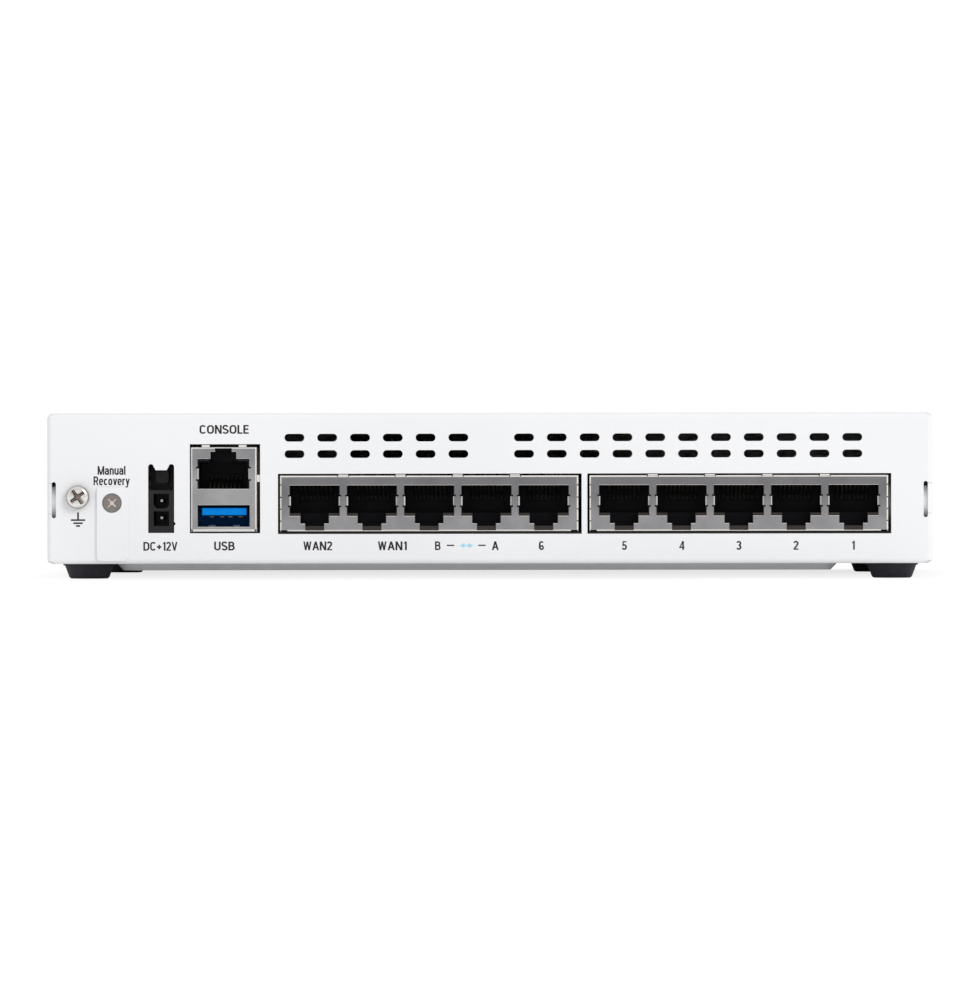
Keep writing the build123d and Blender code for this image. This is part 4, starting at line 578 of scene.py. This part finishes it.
def union(polygons):
    """Corners and triangles of the area that the polygons cover together."""
    corners, faces = [], []
    for polygon in polygons:
        area = sum(a[0] * b[1] - b[0] * a[1] for a, b in zip(polygon, polygon[1:] + polygon[:1]))
        ordered = polygon if area > 0 else polygon[::-1]
        faces.append(list(range(len(corners), len(corners) + len(ordered))))
        corners.extend(Vector(c) for c in ordered)
    points, _, triangles, _, _, sources = delaunay_2d_cdt(corners, [], faces, 1, 1e-6)
    return points, [t for t, source in zip(triangles, sources) if source]


def printed(polygons, facing):
    """A closed, very thin plate on an end panel with the shape of these polygons, given in x and z."""
    points, triangles = union(polygons)
    face_y = REAR_Y if facing < 0 else FRONT_Y
    bm = bmesh.new()
    under = [bm.verts.new((x, face_y, z)) for x, z in points]
    over = [bm.verts.new((x, face_y + facing * INK_THICK, z)) for x, z in points]
    edges = {}
    for triangle in triangles:
        for a, b in zip(triangle, triangle[1:] + triangle[:1]):
            edges[frozenset((a, b))] = edges.get(frozenset((a, b)), 0) + 1
        bm.faces.new([under[i] for i in triangle])
        bm.faces.new([over[i] for i in triangle])
    for pair, uses in edges.items():
        if uses == 1:
            a, b = pair
            bm.faces.new((under[a], under[b], over[b], over[a]))
    bmesh.ops.delete(bm, geom=[v for v in bm.verts if not v.link_faces], context="VERTS")
    bmesh.ops.recalc_face_normals(bm, faces=bm.faces)
    mesh = bpy.data.meshes.new("print")
    bm.to_mesh(mesh)
    bm.free()
    return mesh


def in_metres(polygons):
    return [[(x * MM, z * MM) for x, z in polygon] for polygon in polygons]


def words(text, x, z, cap, width, facing):
    """Lettering centred on x and z, squeezed or spread to a width."""
    placed, pen_x = [], 0.0
    for name in text:
        outlines, advance = letter(name)
        placed += [[(pen_x + px, py) for px, py in outline] for outline in outlines]
        pen_x += advance + LETTER_GAP
    total = pen_x - LETTER_GAP
    squeeze = width / total
    return [[(x - facing * (px - total / 2) * squeeze, z + (py - 0.5) * cap) for px, py in outline]
            for outline in placed]


def oblong(x, z, width, height):
    """An upright rectangle about its centre."""
    return [[(x + sx * width / 2, z + sz * height / 2) for sx, sz in ((-1, -1), (1, -1), (1, 1), (-1, 1))]]


def print_piece(name, polygons, facing, material):
    """One printed layer, which rides on the chassis."""
    mesh = printed(polygons, facing)
    mesh.name = name
    piece = bpy.data.objects.new(name, mesh)
    bpy.context.scene.collection.objects.link(piece)
    mesh.materials.append(material)
    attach(piece, "chassis")


# the printing is laid out in millimetres
CAP = 2.15                # height of the capitals, and of those on the status panel
SMALL_CAP = 1.7
LABEL_Z = 8.06
# words, x, z and width
REAR_WORDS = [
    ("CONSOLE", -64.7, 36.5, 12.0), ("USB", -64.65, 8.05, 5.0), ("DC+12V", -80.3, 8.0, 8.3),
    ("Manual", -92.2, 26.55, 6.8), ("Recovery", -92.2, 24.0, 8.8),
    ("WAN2", -41.9, LABEL_Z, 7.0), ("WAN1", -23.7, LABEL_Z, 7.0),
    ("B", -12.6, LABEL_Z, 1.35), ("A", 1.4, LABEL_Z, 1.6), ("6", 12.7, LABEL_Z, 1.2),
    ("5", 32.9, LABEL_Z, 1.2), ("4", 46.9, LABEL_Z, 1.3), ("3", 60.8, LABEL_Z, 1.2),
    ("2", 74.7, LABEL_Z, 1.2), ("1", 88.6, LABEL_Z, 0.75),
]
earth_lo, earth_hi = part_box("ground_screw")
EARTH_X = (earth_lo.x + earth_hi.x) / 2 / MM
rear_print = [outline for text, x, z, width in REAR_WORDS for outline in words(text, x, z, CAP, width, -1)]
# the earth mark's stem and its three bars, then the dashes beside the pair mark: x, z, width and height
REAR_BARS = [
    (EARTH_X, 15.35, 0.42, 1.9), (EARTH_X, 14.42, 3.5, 0.40), (EARTH_X, 13.66, 2.3, 0.40),
    (EARTH_X, 12.98, 1.0, 0.40), (-9.5, 8.15, 1.8, 0.32), (-1.8, 8.15, 1.8, 0.32),
]
rear_print += [outline for bar in REAR_BARS for outline in oblong(*bar)]
print_piece("rear_printing", in_metres(rear_print), -1, black_ink)

PAIR_MARK = (-5.6, 8.1, 3.2, 1.25)       # x, z, length and height
ARROW_HEAD = 0.34                        # share of the mark's length
ARROW_SHAFT = 0.3                        # share of its height


def double_arrow(x, z, length, height):
    """A shaft with a head at each end."""
    head, shaft = length * ARROW_HEAD, height * ARROW_SHAFT
    shapes = oblong(x, z, length - head, shaft)
    for side in (-1, 1):
        base = x + side * (length / 2 - head)
        shapes.append([(base, z - height / 2), (x + side * length / 2, z), (base, z + height / 2)])
    return shapes


print_piece("pair_mark", in_metres(double_arrow(*PAIR_MARK)), -1, blue_ink)

FRONT_LABEL_Z = 18.0
FIRST_PORT_X = 41.0
PORT_LIGHT_PITCH = 9.0
# words, x and width
FRONT_WORDS = [("POWER", 88.0, 5.6), ("STATUS", 76.0, 6.2), ("HA", 64.0, 2.2)]
FRONT_WORDS += [(text, FIRST_PORT_X - PORT_LIGHT_PITCH * i, 1.0) for i, text in enumerate("123456")]
FRONT_WORDS += [("A", -13.0, 1.2), ("B", -22.0, 1.1), ("WAN1", -31.0, 5.2), ("WAN2", -40.0, 5.4),
                ("RESET", -62.0, 5.4)]
front_print = [outline for text, x, width in FRONT_WORDS
               for outline in words(text, x, FRONT_LABEL_Z, SMALL_CAP, width, 1)]
print_piece("front_printing", in_metres(front_print), 1, black_ink)

# ------------------------------------------------------------------------------------------------
# floor, light and camera
# ------------------------------------------------------------------------------------------------
FLOOR_HALF = 30.0
FLOOR_FAR = 1.07          # glow to the eye well away from the object
SHADE_DEPTH = 0.29        # what the shade under the object's far side takes from it
# the shade deepens along SHADE_Y, fades again along SHADE_END_Y, and fades to the sides along SHADE_END_X
SHADE_Y = (-170 * MM, 90 * MM)
SHADE_END_Y = (90 * MM, 165 * MM)
SHADE_END_X = (98 * MM, 124 * MM)
FLOOR_LIT = 0.06          # share of the floor's look that takes the lamp's shadow
FLOOR_BOUNCE = 0.66       # how much of the light the floor throws back on the object
FLOOR_FILL = 0.36         # glow that the floor adds to it, out of the shade
FILL_SHADE = (0.2, 0.5)   # shades between which that glow goes out


def floor_material():
    """Pale paper: white to the eye with a soft shade under the object, and it throws light back on it."""
    s = Shader("floor_paper", 0.9, specular=0.0)
    s.colour(s.mix(s.span(s.noise(0.3), 0.3, 0.7), grey(0.90), grey(0.92)))
    aside = s.math("ABSOLUTE", s.axis("X"))
    deepen = s.span(s.axis("Y"), *SHADE_Y)
    lift = s.math("MULTIPLY", s.span(s.axis("Y"), *SHADE_END_Y, 1.0, 0.0),
                  s.span(aside, *SHADE_END_X, 1.0, 0.0))
    shade = s.math("MULTIPLY", deepen, lift)
    glow = s.add("ShaderNodeEmission")
    glow.inputs["Color"].default_value = WHITE
    s.wire(s.span(shade, 0.0, 1.0, FLOOR_FAR, FLOOR_FAR - SHADE_DEPTH), glow.inputs["Strength"])
    lit = s.add("ShaderNodeMixShader")
    lit.inputs[0].default_value = FLOOR_LIT
    s.wire(glow.outputs[0], lit.inputs[1])
    s.wire(s.bsdf.outputs[0], lit.inputs[2])
    dim = s.add("ShaderNodeBsdfDiffuse")
    dim.inputs["Color"].default_value = grey(FLOOR_BOUNCE)
    fill = s.add("ShaderNodeEmission")
    fill.inputs["Color"].default_value = WHITE
    s.wire(s.span(shade, *FILL_SHADE, FLOOR_FILL, 0.0), fill.inputs["Strength"])
    thrown = s.add("ShaderNodeAddShader")
    s.wire(dim.outputs[0], thrown.inputs[0])
    s.wire(fill.outputs[0], thrown.inputs[1])
    path = s.add("ShaderNodeLightPath")
    choose = s.add("ShaderNodeMixShader")
    s.wire(path.outputs["Is Camera Ray"], choose.inputs[0])
    s.wire(thrown.outputs[0], choose.inputs[1])
    s.wire(lit.outputs[0], choose.inputs[2])
    s.wire(choose.outputs[0], s.tree.nodes["Material Output"].inputs["Surface"])
    return s.material


def make_floor():
    mesh = bpy.data.meshes.new("floor")
    corners = [(-FLOOR_HALF, -FLOOR_HALF, 0), (FLOOR_HALF, -FLOOR_HALF, 0), (FLOOR_HALF, FLOOR_HALF, 0),
               (-FLOOR_HALF, FLOOR_HALF, 0)]
    mesh.from_pydata(corners, [], [(0, 1, 2, 3)])
    floor = bpy.data.objects.new("floor", mesh)
    mesh.materials.append(floor_material())
    bpy.context.scene.collection.objects.link(floor)


# strengths of the studio's sky: at the horizon and overhead, and the share left in front and behind
SKY_LOW = 0.86
SKY_HIGH = 0.74
FRONT_DIM = 0.82
BACK_DIM = 0.9
SKY_SEEN = 1.05           # the sky as the camera sees it
# directions between which those strengths change, as parts of a unit vector
SKY_RISE = (0.0, 0.7)
SKY_FRONT = (-0.97, -0.80)
SKY_BACK = (0.05, 0.5)
KEY_PLACE = (1.1, -1.5, 1.1)
KEY_SIZE = 1.0
KEY_POWER = 13.7
CAMERA_PLACE = (28.0 * MM, -1895 * MM, 22.4 * MM)
CAMERA_AIM = (-0.7 * MM, -80 * MM, 19.2 * MM)
CAMERA_ROLL = math.radians(-0.075)
LENS = 268.0
SENSOR_WIDTH = 36.0
CLIP = (0.05, 200)


def area_light(name, place, target, size, power):
    light = bpy.data.lights.new(name, "AREA")
    light.shape = "DISK"
    light.size = size
    light.energy = power
    lamp = bpy.data.objects.new(name, light)
    lamp.location = place
    lamp.rotation_euler = (Vector(target) - Vector(place)).to_track_quat("-Z", "Y").to_euler()
    bpy.context.scene.collection.objects.link(lamp)


def make_world():
    """Even white studio, a little greyer in front, behind and overhead."""
    world = bpy.data.worlds.new("studio")
    bpy.context.scene.world = world
    world.use_nodes = True
    tree = world.node_tree

    def span(value, ends, to_low, to_high, smooth="LINEAR"):
        node = add_node(tree, "ShaderNodeMapRange", interpolation_type=smooth)
        for socket, number in zip(("From Min", "From Max", "To Min", "To Max"), (*ends, to_low, to_high)):
            node.inputs[socket].default_value = number
        tree.links.new(value, node.inputs["Value"])
        return node.outputs["Result"]

    def product(a, b):
        node = add_node(tree, "ShaderNodeMath", operation="MULTIPLY")
        tree.links.new(a, node.inputs[0])
        tree.links.new(b, node.inputs[1])
        return node.outputs[0]

    background = tree.nodes["Background"]
    background.inputs["Color"].default_value = WHITE
    seen = add_node(tree, "ShaderNodeBackground")
    seen.inputs["Color"].default_value = WHITE
    seen.inputs["Strength"].default_value = SKY_SEEN
    way = add_node(tree, "ShaderNodeSeparateXYZ")
    tree.links.new(add_node(tree, "ShaderNodeTexCoord").outputs["Generated"], way.inputs[0])
    rise = span(way.outputs["Z"], SKY_RISE, SKY_LOW, SKY_HIGH)
    front = span(way.outputs["Y"], SKY_FRONT, FRONT_DIM, 1.0, "SMOOTHSTEP")
    back = span(way.outputs["Y"], SKY_BACK, 1.0, BACK_DIM, "SMOOTHSTEP")
    tree.links.new(product(rise, product(front, back)), background.inputs["Strength"])
    path = add_node(tree, "ShaderNodeLightPath")
    choose = add_node(tree, "ShaderNodeMixShader")
    tree.links.new(path.outputs["Is Camera Ray"], choose.inputs[0])
    tree.links.new(background.outputs[0], choose.inputs[1])
    tree.links.new(seen.outputs[0], choose.inputs[2])
    tree.links.new(choose.outputs[0], tree.nodes["World Output"].inputs["Surface"])


def make_camera():
    camera = bpy.data.cameras.new("camera")
    camera.lens = LENS
    camera.sensor_width = SENSOR_WIDTH
    camera.clip_start, camera.clip_end = CLIP
    holder = bpy.data.objects.new("camera", camera)
    holder.location = CAMERA_PLACE
    look = (Vector(CAMERA_AIM) - Vector(CAMERA_PLACE)).to_track_quat("-Z", "Y")
    holder.rotation_euler = (look @ Quaternion((0, 0, 1), CAMERA_ROLL)).to_euler()
    bpy.context.scene.collection.objects.link(holder)
    bpy.context.scene.camera = holder


make_floor()
make_world()
area_light("key", KEY_PLACE, (0, 0, 0), KEY_SIZE, KEY_POWER)
make_camera()
bpy.context.scene.view_settings.view_transform = "Standard"
bpy.context.scene.view_settings.look = "None"
